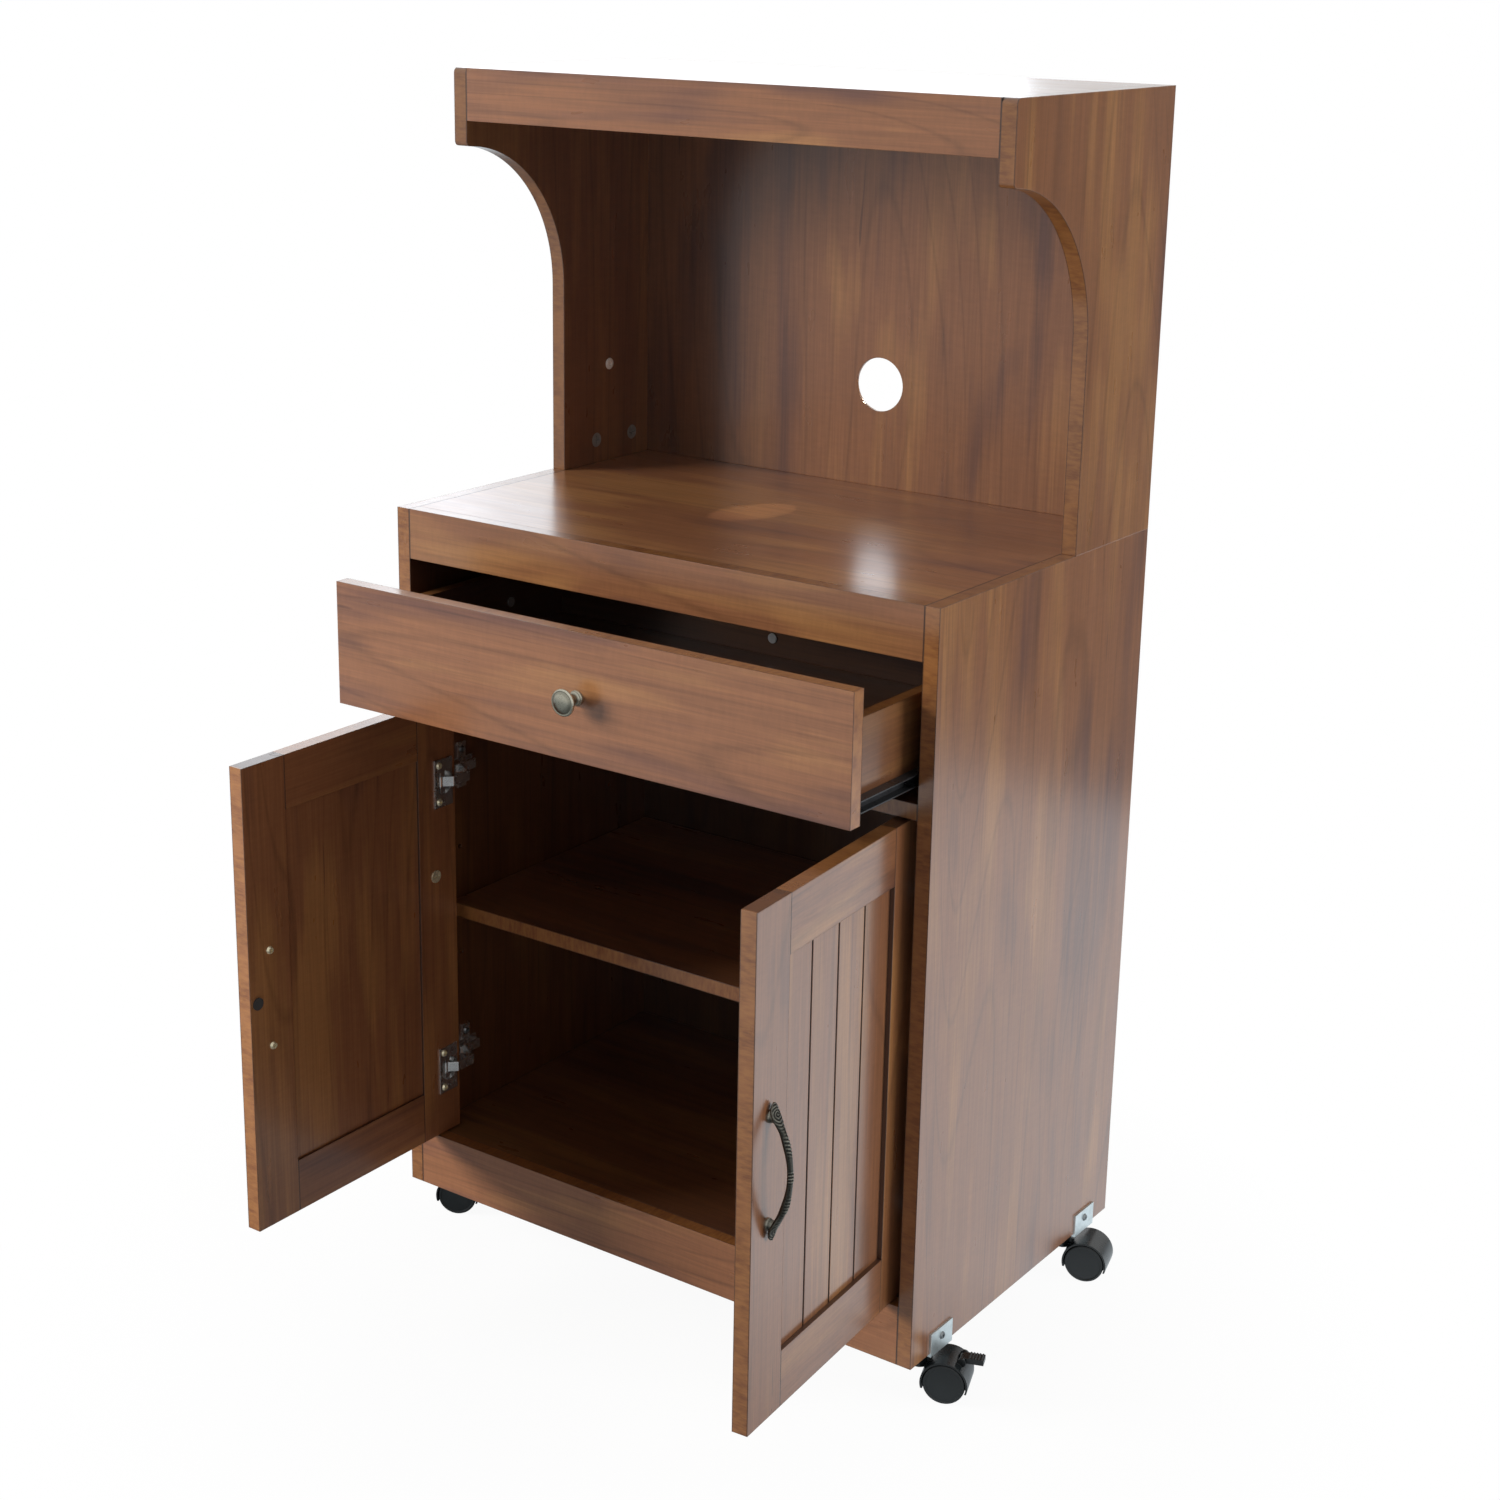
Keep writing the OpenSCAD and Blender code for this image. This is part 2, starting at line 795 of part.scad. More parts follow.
// Doors, each in its own frame: hinge edge on the YZ plane, face on the XZ plane, foot at 0

// Puts what is drawn in a door's own frame where it belongs, closed and then opened.
module hung(side, angle) {
  sided(side) translate([axis_x, axis_y, door_z]) rotate([0, 0, angle])
    translate([axis_from_edge, -axis_depth, 0]) mirror([1, 0, 0]) children();
}

module stile(x) {
  translate([x, 0, 0]) cube([stile_w, board_t, door_h]);
}

// The groove that runs round the inside of a door's frame.
module panel_slot() {
  span([stile_w - panel_groove, panel_recess, -past],
       [door_w - stile_w + panel_groove, panel_recess + panel_t, door_h + past]);
}

module hinge_cup_bores() {
  for (z = [hinge_from_bottom, door_h - hinge_from_top]) {
    translate([cup_x, board_t - cup_depth, z]) rod_y(cup_r, cup_depth + past);
  }
}

module handle_bores() {
  for (z = [-handle_pitch / 2, handle_pitch / 2]) {
    translate([door_w - handle_from_edge, -past, door_h / 2 + z]) rod_y(machine_bore_r, board_t + 2 * past);
  }
}

module door_stiles() {
  color(cherry) difference() {
    union() {
      stile(0);
      stile(door_w - stile_w);
    }
    panel_slot();
    hinge_cup_bores();
    handle_bores();
  }
}

// A rail with its tongues, which fill the stiles' grooves.
module door_rail() {
  translate([stile_w, 0, 0]) cube([door_w - 2 * stile_w, board_t, rail_w]);
  translate([stile_w - panel_groove, panel_recess, 0])
    cube([door_w - 2 * stile_w + 2 * panel_groove, panel_t, rail_w]);
}

module door_rails() {
  color(cherry) difference() {
    union() {
      door_rail();
      translate([0, 0, door_h - rail_w]) door_rail();
    }
    door_panel_blank();
  }
}

module door_panel_blank() {
  span([stile_w - panel_groove, panel_recess, rail_w - panel_groove],
       [door_w - stile_w + panel_groove, panel_recess + panel_t, door_h - rail_w + panel_groove]);
}

module door_panel() {
  plank_w = (door_w - 2 * stile_w) / plank_count;
  color(cherry) difference() {
    door_panel_blank();
    for (index = [1:plank_count - 1]) {
      translate([stile_w + index * plank_w, panel_recess, 0]) linear_extrude(door_h)
        polygon([[-plank_groove_w / 2, -past / 100], [plank_groove_w / 2, -past / 100],
                 [plank_groove_w / 4, plank_groove_d], [-plank_groove_w / 4, plank_groove_d]]);
    }
  }
}

// One hinge cup with the flange, the two lugs that hold the pin, and the pin.
module hinge_cup() {
  lug_z = arm_w / 2 + lug_gap;
  lug_h = cup_r - cup_wall / 2 - lug_z;
  difference() {
    union() {
      translate([cup_x, board_t - cup_depth, 0]) rod_y(cup_r, cup_depth);
      translate([flange_from_edge, board_t, -flange[2] / 2]) cube(flange);
    }
    difference() {
      translate([cup_x, board_t - cup_depth + cup_wall, 0])
        rod_y(cup_r - cup_wall, cup_depth + flange[1]);
      for (z = [lug_z, -lug_z - lug_h]) {
        translate([axis_from_edge - lug_w / 2, board_t - cup_depth, z])
          cube([lug_w, cup_depth, lug_h]);
      }
    }
  }
  translate([axis_from_edge, axis_depth, -lug_z - lug_h + 1])
    cylinder(r = hinge_pin_r, h = 2 * (lug_z + lug_h - 1));
}

module hinge_cups() {
  color(nickel) {
    for (z = [hinge_from_bottom, door_h - hinge_from_top]) {
      translate([0, 0, z]) hinge_cup();
    }
  }
}

// Bow handle on two posts, with a leaf-shaped foot at each end.
module handle() {
  half = handle_pitch / 2;
  crown = handle_out - handle_r;
  rise = crown - 6;
  bow_r = (half * half + rise * rise) / (2 * rise);
  bow_angle = 2 * asin(half / bow_r);
  color(pewter) translate([door_w - handle_from_edge, 0, door_h / 2]) difference() {
    union() {
      translate([0, bow_r - crown, 0]) rotate([0, 90, 0]) rotate([0, 0, 180 + (180 - bow_angle) / 2])
        rotate_extrude(angle = bow_angle, $fn = 96) translate([bow_r, 0]) circle(r = handle_r, $fn = 24);
      for (end = [-1, 1]) {
        translate([0, 0, end * half]) rotate([90, 0, 0]) cylinder(r = handle_r + 0.6, h = 6 + handle_r);
        translate([0, 0, end * (half + 3)]) rotate([90, 0, 0]) cylinder(r = 6, h = 3);
        translate([0, 0, end * (half + 9)]) rotate([90, 0, 0]) cylinder(r = 5, h = 2.4);
      }
    }
    for (end = [-1, 1]) {
      translate([0, past, end * half]) rotate([90, 0, 0]) cylinder(r = machine_screw_r, h = 6 + past);
    }
  }
}

module door_screws() {
  color(brass) {
    for (end = [-1, 1]) {
      translate([door_w - handle_from_edge, board_t, door_h / 2 + end * handle_pitch / 2])
        rotate([-90, 0, 0]) machine_screw(board_t + 5);
    }
    for (z = [hinge_from_bottom, door_h - hinge_from_top]) {
      for (end = [-1, 1]) {
        translate([cup_screw_x, board_t + flange[1], z + end * cup_screw_pitch / 2])
          rotate([-90, 0, 0]) wood_screw();
      }
    }
    translate([cam_disc_from_edge, board_t, cam_disc_h]) rotate([-90, 0, 0]) difference() {
      cylinder(r = cam_disc_r, h = 1);
      translate([-cam_disc_r * 0.7, -0.7, 0.4]) cube([cam_disc_r * 1.4, 1.4, past]);
    }
  }
}

module door_bumper() {
  color(caster_black) translate([door_w - bumper_from_free, board_t, door_h / 2])
    rod_y(bumper_r, bumper_t);
}

module left_door_stiles() {
  hung(-1, left_open) door_stiles();
}

module left_door_rails() {
  hung(-1, left_open) door_rails();
}

module left_door_panel() {
  hung(-1, left_open) door_panel();
}

module left_hinge_cups() {
  hung(-1, left_open) hinge_cups();
}

module left_handle() {
  hung(-1, left_open) handle();
}

module left_door_screws() {
  hung(-1, left_open) door_screws();
}

module left_door_bumper() {
  hung(-1, left_open) door_bumper();
}

module right_door_stiles() {
  hung(1, right_open) door_stiles();
}

module right_door_rails() {
  hung(1, right_open) door_rails();
}

module right_door_panel() {
  hung(1, right_open) door_panel();
}

module right_hinge_cups() {
  hung(1, right_open) hinge_cups();
}

module right_handle() {
  hung(1, right_open) handle();
}

module right_door_screws() {
  hung(1, right_open) door_screws();
}

module right_door_bumper() {
  hung(1, right_open) door_bumper();
}

// Fixed halves of the hinges, on the side panels

plate_y = front_y + plate_from_front;
block_x = inner_x - plate_t - plate_block_t;

module hinge_plates() {
  color(nickel) both_sides() {
    for (z = hinge_zs) {
      translate([0, 0, z]) {
        span([inner_x - plate_t, plate_y, -8], [inner_x, plate_y + plate_l, 8]);
        span([inner_x - plate_t, plate_y + 12, -plate_wing[1] / 2],
             [inner_x, plate_y + 12 + plate_wing[0], plate_wing[1] / 2]);
        span([block_x, plate_y + 2, -arm_w / 2 + 1], [inner_x, plate_y + plate_l - 2, arm_w / 2 - 1]);
      }
    }
  }
}

// A strip of sheet in the XY plane from one point to another, with rounded ends.
module strip(from, to) {
  run = to - from;
  translate(from) rotate([0, 0, atan2(run[1], run[0])]) translate([0, -arm_t / 2])
    square([norm(run), arm_t]);
  for (end = [from, to]) {
    translate(end) circle(r = arm_t / 2, $fn = 24);
  }
}

// The arm leaves the knuckle at 45 degrees, runs back and steps over to the plate.
module hinge_arm() {
  knuckle = [axis_x, axis_y];
  bend = knuckle + [-arm_reach, arm_reach];
  run_end = bend + [0, arm_run];
  seat_x = block_x - arm_t / 2;
  step_end = [seat_x, run_end[1] + arm_step];
  tail = [seat_x, plate_y + plate_l - 4];
  translate([0, 0, -arm_w / 2]) difference() {
    linear_extrude(arm_w) {
      circle_at(knuckle, knuckle_r);
      strip(knuckle, bend);
      strip(bend, run_end);
      strip(run_end, step_end);
      strip(step_end, tail);
    }
    translate([axis_x, axis_y, -past]) cylinder(r = hinge_pin_r + turn_fit, h = arm_w + 2 * past);
  }
}

module circle_at(point, radius) {
  translate(point) circle(r = radius);
}

module hinge_arms() {
  color(nickel) both_sides() {
    for (z = hinge_zs) {
      translate([0, 0, z]) hinge_arm();
    }
  }
}

// Wood screws of the hinge plates, the cabinet runners and the caster brackets.
module frame_screws() {
  color(zinc) both_sides() {
    for (z = hinge_zs) {
      for (end = [-1, 1]) {
        translate([inner_x - plate_t, plate_y + 12 + plate_wing[0] / 2, z + end * plate_screw_pitch / 2])
          rotate([0, -90, 0]) wood_screw();
      }
    }
    for (y = [runner_y + 40, runner_y + runner_l - 25]) {
      translate([inner_x - runner_t, y, (track_z + lip_z) / 2]) rotate([0, -90, 0])
        low_screw();
    }
  }
  color(zinc) for (place = [0:3]) {
    inward = casters[place][1] < outer_x;
    head_x = inward ? inner_x - bracket_t : outside;
    sided(casters[place][0]) translate([head_x, stem_ys[place], bracket_screw_z])
      rotate([0, inward ? -90 : 90, 0]) wood_screw();
  }
}

// A flat-headed screw that stays clear of the roller running past it.
module low_screw() {
  cylinder(r = screw_head_r, h = 0.8);
  translate([0, 0, -screw_l]) cylinder(r = screw_r, h = screw_l);
}

// Casters

// An L-shaped bracket with its stem hole on the Z axis and its tab towards +X.
module caster_bracket() {
  tab_x = stem_inset + bracket_t;
  difference() {
    union() {
      span([stem_inset, -bracket_w / 2, leg_z], [tab_x, bracket_w / 2, foot_z + bracket_tab_h]);
      span([tab_x - bracket_leg_l, -bracket_w / 2, leg_z], [tab_x, bracket_w / 2, foot_z]);
    }
    translate([0, 0, leg_z - past]) cylinder(r = stem_r, h = leg_t + 2 * past);
    translate([stem_inset - past, 0, bracket_screw_z]) rod_x(screw_r, bracket_t + 2 * past);
  }
}

// A stem with the washer that the swivel boss turns under.
module caster_stem() {
  translate([0, 0, stem_foot_z + pass_gap])
    cylinder(r = stem_r, h = foot_z + nut_h + 2 - stem_foot_z - pass_gap);
  translate([0, 0, leg_z - washer_t]) cylinder(r = boss_r - 2, h = washer_t);
}

module stem_nut() {
  translate([0, 0, foot_z]) rotate([0, 0, 30]) difference() {
    cylinder(d = nut_af / cos(30), h = nut_h, $fn = 6);
    translate([0, 0, -past]) cylinder(r = stem_r, h = nut_h + 2 * past);
  }
}

// Puts what is drawn round a stem at each of the four places, not turned by the heading.
module at_stems() {
  for (place = [0:3]) {
    sided(casters[place][0]) translate([stem_xs[place], stem_ys[place], 0]) children();
  }
}

module caster_brackets() {
  color(zinc) at_stems() caster_bracket();
}

module caster_stems() {
  color(zinc) at_stems() caster_stem();
}

module stem_nuts() {
  color(zinc) at_stems() stem_nut();
}

// Turns and moves what is drawn in a caster's own frame to one of its four places.
module caster_at(place) {
  translate([casters[place][0] * stem_xs[place], stem_ys[place], 0])
    rotate([0, 0, headings[place]]) children();
}

module across(radius, width) {
  rotate([90, 0, 0]) translate([0, 0, -width / 2]) cylinder(r = radius, h = width);
}

// Hood of a caster: the fender over both wheels, the web between them and the swivel boss.
module hood(braked) {
  lever_slot = lever_w + 2 * ear_gap;
  color(caster_black) {
    difference() {
      union() {
        difference() {
          translate([trail, 0, wheel_r]) across(hood_r, hood_w, $fn = 96);
          translate([trail, 0, wheel_r]) across(wheel_r + hood_gap, hood_w + past, $fn = 96);
          span([trail - hood_r - past, -hood_w, -hood_r], [trail + hood_r + past, hood_w, hood_cut_z]);
        }
        difference() {
          translate([trail, 0, wheel_r]) across(wheel_r + hood_gap + hood_t / 2, web_t, $fn = 96);
          span([-hood_r, -web_t, -hood_r], [trail + hood_r + past, web_t, web_cut_z]);
        }
        translate([0, 0, boss_z]) cylinder(r = boss_r, h = boss_top - boss_z);
        span([0, -web_t / 2, boss_z], [trail - boss_r, web_t / 2, neck_z]);
        if (braked) {
          translate([lever_axis[0], 0, lever_axis[1]]) across(ear_r, lever_slot + 2 * ear_t);
        }
      }
      translate([0, 0, stem_foot_z]) cylinder(r = stem_r + turn_fit, h = leg_z);
      translate([trail, 0, wheel_r]) across(axle_r + turn_fit, web_t + 2 * past);
      if (braked) {
        span([lever_axis[0] - ear_r - 0.6, -lever_slot / 2, lever_axis[1] - ear_r - 0.6],
             [lever_tip, lever_slot / 2, leg_z]);
      }
    }
    if (braked) {
      translate([lever_axis[0], 0, lever_axis[1]]) across(lever_pin_r, lever_slot + ear_t);
    }
  }
}

// Two wheels on the axle that turns in the hood's web.
wheel_outline = [
  [axle_r, 0], [wheel_r - 1.2, 0], [wheel_r, 1.2], [wheel_r, wheel_w - 2], [wheel_r - 0.6, wheel_w - 0.6],
  [wheel_r - 2, wheel_w], [wheel_r - 4, wheel_w - 0.3], [wheel_r - 4.6, wheel_w - 0.8],
  [0, wheel_w - 0.8], [0, wheel_w - 4], [axle_r, wheel_w - 4]
];

module wheel_pair() {
  inner = web_t / 2 + wheel_gap;
  color(caster_black) translate([trail, 0, wheel_r]) {
    for (side = [0, 180]) {
      rotate([0, 0, side]) rotate([-90, 0, 0]) translate([0, 0, inner])
        rotate_extrude($fn = 96) polygon(wheel_outline);
    }
    across(axle_r, 2 * (inner + wheel_w - 4));
  }
}

// The brake lever: a hub on its pin and a ribbed tongue that is pressed down.
module brake_lever() {
  tongue_z = lever_axis[1] + 1.2;
  rib_step = (lever_tip - lever_axis[0] - 6) / rib_count;
  color(caster_black) difference() {
    union() {
      translate([lever_axis[0], 0, lever_axis[1]]) across(lever_hub_r, lever_w);
      span([lever_axis[0], -lever_w / 2, tongue_z - lever_t / 2], [lever_tip, lever_w / 2, tongue_z + lever_t / 2]);
      for (index = [1:rib_count]) {
        translate([lever_axis[0] + 4 + index * rib_step, 0, tongue_z + lever_t / 2])
          across(0.9, lever_w, $fn = 16);
      }
    }
    translate([lever_axis[0], 0, lever_axis[1]]) across(lever_pin_r + turn_fit, lever_w + 2 * past);
  }
}

module hood_front_left() {
  caster_at(0) hood(true);
}

module hood_front_right() {
  caster_at(1) hood(true);
}

module hood_rear_left() {
  caster_at(2) hood(false);
}

module hood_rear_right() {
  caster_at(3) hood(false);
}

module wheels_front_left() {
  caster_at(0) wheel_pair();
}

module wheels_front_right() {
  caster_at(1) wheel_pair();
}

module wheels_rear_left() {
  caster_at(2) wheel_pair();
}

module wheels_rear_right() {
  caster_at(3) wheel_pair();
}

module brake_lever_left() {
  caster_at(0) brake_lever();
}

module brake_lever_right() {
  caster_at(1) brake_lever();
}

side_panel_left();
side_panel_right();
counter_top();
counter_rail();
divider();
bottom_panel();
plinth_rail();
base_back();
hutch_side_left();
hutch_side_right();
hutch_top();
hutch_rail();
hutch_back();
shelf();
shelf_pins();
cam_fittings();
back_nails();
cabinet_runners();
frame_screws();
hinge_plates();
hinge_arms();
caster_brackets();
caster_stems();
stem_nuts();
cabinet_rollers();
drawer_front();
drawer_side_left();
drawer_side_right();
drawer_back();
drawer_bottom();
drawer_runners();
drawer_knob();
knob_screw();
drawer_caps();
drawer_rollers();
left_door_stiles();
left_door_rails();
left_door_panel();
left_hinge_cups();
left_handle();
left_door_screws();
left_door_bumper();
right_door_stiles();
right_door_rails();
right_door_panel();
right_hinge_cups();
right_handle();
right_door_screws();
right_door_bumper();
hood_front_left();
hood_front_right();
hood_rear_left();
hood_rear_right();
wheels_front_left();
wheels_front_right();
wheels_rear_left();
wheels_rear_right();
brake_lever_left();
brake_lever_right();
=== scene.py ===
"""Dresses the microwave cart: boards, metal fittings and casters, with the floor, the lamps and the camera."""

import json
import math

import bpy
from mathutils import Matrix, Vector


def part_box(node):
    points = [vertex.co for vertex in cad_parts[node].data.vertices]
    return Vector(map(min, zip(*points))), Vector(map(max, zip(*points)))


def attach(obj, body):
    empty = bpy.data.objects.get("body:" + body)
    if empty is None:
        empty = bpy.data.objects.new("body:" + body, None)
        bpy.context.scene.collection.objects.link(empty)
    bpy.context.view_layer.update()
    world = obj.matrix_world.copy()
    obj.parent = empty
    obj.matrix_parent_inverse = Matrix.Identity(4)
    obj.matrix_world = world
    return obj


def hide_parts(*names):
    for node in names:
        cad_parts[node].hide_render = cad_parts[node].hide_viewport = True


bl_info = {
    "name": "Microwave cart",
    "version": (1, 0, 0),
    "blender": (4, 5, 0),
    "location": "3D View > Sidebar > Cart",
    "description": "Finishes a rolling microwave cart and sets up its studio",
    "category": "Object",
}

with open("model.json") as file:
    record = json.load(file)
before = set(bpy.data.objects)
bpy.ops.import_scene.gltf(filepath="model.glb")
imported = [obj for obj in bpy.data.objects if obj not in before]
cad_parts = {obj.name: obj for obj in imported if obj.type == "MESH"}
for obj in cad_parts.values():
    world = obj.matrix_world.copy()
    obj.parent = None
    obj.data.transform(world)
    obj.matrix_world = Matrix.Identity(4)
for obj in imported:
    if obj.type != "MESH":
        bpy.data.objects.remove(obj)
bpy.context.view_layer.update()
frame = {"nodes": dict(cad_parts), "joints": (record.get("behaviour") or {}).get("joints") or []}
JOINTS = {joint["name"]: joint for joint in frame["joints"]}
UP = Vector((0, 0, 1))


def low(node):
    """Lowest corner of a CAD node at rest."""
    return Vector(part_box(node)[0])


def high(node):
    """Highest corner of a CAD node at rest."""
    return Vector(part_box(node)[1])


def middle(node):
    """Centre of a CAD node's box at rest."""
    return (low(node) + high(node)) / 2


def reach_along(thing, direction):
    """Middle and half length of a piece along a direction."""
    spans = [corner.co.dot(direction) for corner in thing.data.vertices]
    return (max(spans) + min(spans)) / 2, (max(spans) - min(spans)) / 2


STILE_WIDTH = 0.053
# The grooves in a door's panel lie between these depths under its face.
GROOVE_TOP, GROOVE_FLOOR = 0.0004, 0.004
# The right door stands a little past square, so its faces are turned by this much.
RIGHT_DOOR_TURN = math.radians(4.3)
RIGHT_OUTWARD = Vector((math.cos(RIGHT_DOOR_TURN), math.sin(RIGHT_DOOR_TURN), 0))
LEFT_OUTWARD = Vector((-1, 0, 0))


# ---------------------------------------------------------------- sizes and colours


class CartFinish(bpy.types.PropertyGroup):
    """Colours and gloss of the cart's materials."""

    cherry_dark: bpy.props.FloatVectorProperty(
        name="Cherry, dark", description="Dark streaks of the cherry print",
        subtype="COLOR", size=3, min=0, max=1, default=(0.118, 0.049, 0.031))
    cherry: bpy.props.FloatVectorProperty(
        name="Cherry", description="Main tone of the cherry print",
        subtype="COLOR", size=3, min=0, max=1, default=(0.207, 0.085, 0.037))
    cherry_light: bpy.props.FloatVectorProperty(
        name="Cherry, light", description="Light streaks of the cherry print",
        subtype="COLOR", size=3, min=0, max=1, default=(0.285, 0.130, 0.048))
    edge_band: bpy.props.FloatVectorProperty(
        name="Edge band", description="Edge band on the boards' edges",
        subtype="COLOR", size=3, min=0, max=1, default=(0.270, 0.113, 0.034))
    pewter: bpy.props.FloatVectorProperty(
        name="Pewter", description="Rubbed parts of the handles and the knob",
        subtype="COLOR", size=3, min=0, max=1, default=(0.30, 0.29, 0.24))
    caster: bpy.props.FloatVectorProperty(
        name="Caster plastic", description="Plastic of the casters",
        subtype="COLOR", size=3, min=0, max=1, default=(0.0065, 0.009, 0.010))
    laminate_roughness: bpy.props.FloatProperty(
        name="Laminate roughness", description="Roughness of the boards' faces",
        subtype="FACTOR", min=0, max=1, default=0.30)
    laminate_coat: bpy.props.FloatProperty(
        name="Laminate coat", description="Share of the clear overlay on the boards",
        subtype="FACTOR", min=0, max=1, default=0.6)
    coat_roughness: bpy.props.FloatProperty(
        name="Coat roughness", description="Roughness of the clear overlay",
        subtype="FACTOR", min=0, max=1, default=0.19)
    edge_rounding: bpy.props.FloatProperty(
        name="Edge rounding", description="Rounding that shows on the boards' edges",
        subtype="DISTANCE", unit="LENGTH", min=0, max=0.003, default=0.0012)


class CartSizes(bpy.types.PropertyGroup):
    """Sizes of the pieces that are modelled here."""

    bow_radius: bpy.props.FloatProperty(
        name="Bow radius", description="Radius of a handle's bow",
        subtype="DISTANCE", unit="LENGTH", min=0.002, max=0.006, default=0.0026)
    bow_reach: bpy.props.FloatProperty(
        name="Bow reach", description="How far the middle of a handle's bow stands out",
        subtype="DISTANCE", unit="LENGTH", min=0.015, max=0.03, default=0.0198)
    leaf_width: bpy.props.FloatProperty(
        name="Leaf width", description="Half the width of the leaf at a handle's end",
        subtype="DISTANCE", unit="LENGTH", min=0.003, max=0.008, default=0.0060)
    knob_radius: bpy.props.FloatProperty(
        name="Knob radius", description="Radius of the knob's face",
        subtype="DISTANCE", unit="LENGTH", min=0.01, max=0.016, default=0.0125)
    wheel_sides: bpy.props.IntProperty(
        name="Wheel sides", description="Sides of a wheel's rim", min=32, max=128, default=96)
    cap_radius: bpy.props.FloatProperty(
        name="Cap radius", description="Radius of the white cap in the hutch",
        subtype="DISTANCE", unit="LENGTH", min=0.003, max=0.01, default=0.006)


class StudioSettings(bpy.types.PropertyGroup):
    """Strength of the lamps, and the camera."""

    ambient: bpy.props.FloatProperty(
        name="Ambient", description="Even light from all round", min=0, max=2, default=0.22)
    key_power: bpy.props.FloatProperty(
        name="Key lamp", description="Soft lamp in front", subtype="POWER", unit="POWER",
        min=0, max=1000, default=200)
    fill_power: bpy.props.FloatProperty(
        name="Side lamp", description="Soft lamp on the right", subtype="POWER", unit="POWER",
        min=0, max=1000, default=80)
    rear_power: bpy.props.FloatProperty(
        name="Rear lamp", description="Soft lamp behind, on the left", subtype="POWER", unit="POWER",
        min=0, max=1000, default=6.0)
    left_power: bpy.props.FloatProperty(
        name="Left lamp", description="Soft lamp far behind, on the left", subtype="POWER", unit="POWER",
        min=0, max=1000, default=4.0)
    hole_power: bpy.props.FloatProperty(
        name="Hole lamp", description="Small lamp that shines in through the cord hole",
        subtype="POWER", unit="POWER", min=0, max=1000, default=85)
    focal_length: bpy.props.FloatProperty(
        name="Focal length", description="Camera lens", subtype="DISTANCE_CAMERA",
        min=10, max=200, default=60.01)


# ---------------------------------------------------------------- modelling helpers


def clear_selection():
    """Leaves nothing selected, so that an operator acts on one piece only."""
    if bpy.context.mode != "OBJECT":
        bpy.ops.object.mode_set(mode="OBJECT")
    bpy.ops.object.select_all(action="DESELECT")


def pick(piece):
    """Selects one piece and makes it active."""
    clear_selection()
    piece.select_set(True)
    bpy.context.view_layer.objects.active = piece


def turned(name, outline, sides):
    """A piece turned on the Z axis: a disc extruded and resized along an outline of (radius, height)."""
    clear_selection()
    radius, height = outline[0]
    bpy.ops.mesh.primitive_circle_add(vertices=sides, radius=radius, fill_type="NGON", location=(0, 0, height))
    piece = bpy.context.active_object
    piece.name = name
    bpy.ops.object.transform_apply(location=True, rotation=False, scale=False)
    bpy.ops.object.mode_set(mode="EDIT")
    for next_radius, next_height in outline[1:]:
        bpy.ops.mesh.extrude_region_move(TRANSFORM_OT_translate={"value": (0, 0, next_height - height)})
        share = next_radius / radius
        bpy.ops.transform.resize(value=(share, share, 1), center_override=(0, 0, next_height))
        radius, height = next_radius, next_height
    bpy.ops.mesh.select_all(action="SELECT")
    bpy.ops.mesh.normals_make_consistent(inside=False)
    bpy.ops.object.mode_set(mode="OBJECT")
    return piece


def ringed(name, levels, sides, shape):
    """A closed tube of rings: ring and side numbers are turned into places by the function shape."""
    clear_selection()
    bpy.ops.mesh.primitive_circle_add(vertices=sides, radius=1, fill_type="NGON", location=(0, 0, 0))
    piece = bpy.context.active_object
    piece.name = name
    bpy.ops.object.mode_set(mode="EDIT")
    for _ in range(levels):
        bpy.ops.mesh.extrude_region_move(TRANSFORM_OT_translate={"value": (0, 0, 1)})
    bpy.ops.object.mode_set(mode="OBJECT")
    for corner in piece.data.vertices:
        level = round(corner.co.z)
        corner.co = shape(level / levels, math.atan2(corner.co.y, corner.co.x))
    pick(piece)
    bpy.ops.object.mode_set(mode="EDIT")
    bpy.ops.mesh.select_all(action="SELECT")
    bpy.ops.mesh.normals_make_consistent(inside=False)
    bpy.ops.object.mode_set(mode="OBJECT")
    return piece


def put(piece, place, outward, along=UP):
    """Moves a piece so that its Z axis points outward and its Y axis lies along, and applies that."""
    z_axis = Vector(outward).normalized()
    x_axis = Vector(along).cross(z_axis).normalized()
    y_axis = z_axis.cross(x_axis)
    turn = Matrix((x_axis, y_axis, z_axis)).transposed().to_4x4()
    piece.matrix_world = Matrix.Translation(place) @ turn
    pick(piece)
    bpy.ops.object.transform_apply(location=True, rotation=True, scale=True)


def smooth(piece, angle=35):
    """Smooth shading up to an angle."""
    pick(piece)
    bpy.ops.object.shade_smooth_by_angle(angle=math.radians(angle))


def join(name, pieces):
    """Joins pieces into one object."""
    clear_selection()
    for piece in pieces:
        piece.select_set(True)
    bpy.context.view_layer.objects.active = pieces[0]
    bpy.ops.object.join()
    pieces[0].name = name
    pieces[0].data.name = name
    return pieces[0]


def copied(pattern, name):
    """A copy of a piece with its own mesh."""
    twin = pattern.copy()
    twin.data = pattern.data.copy()
    twin.name = name
    twin.data.name = name
    bpy.context.collection.objects.link(twin)
    return twin


def remove(pattern):
    """Takes the first piece away when its copies are made."""
    bpy.data.objects.remove(pattern, do_unlink=True)


def dress(thing, material):
    """Gives a piece or a CAD node one material."""
    thing.data.materials.clear()
    thing.data.materials.append(material)


# ---------------------------------------------------------------- materials


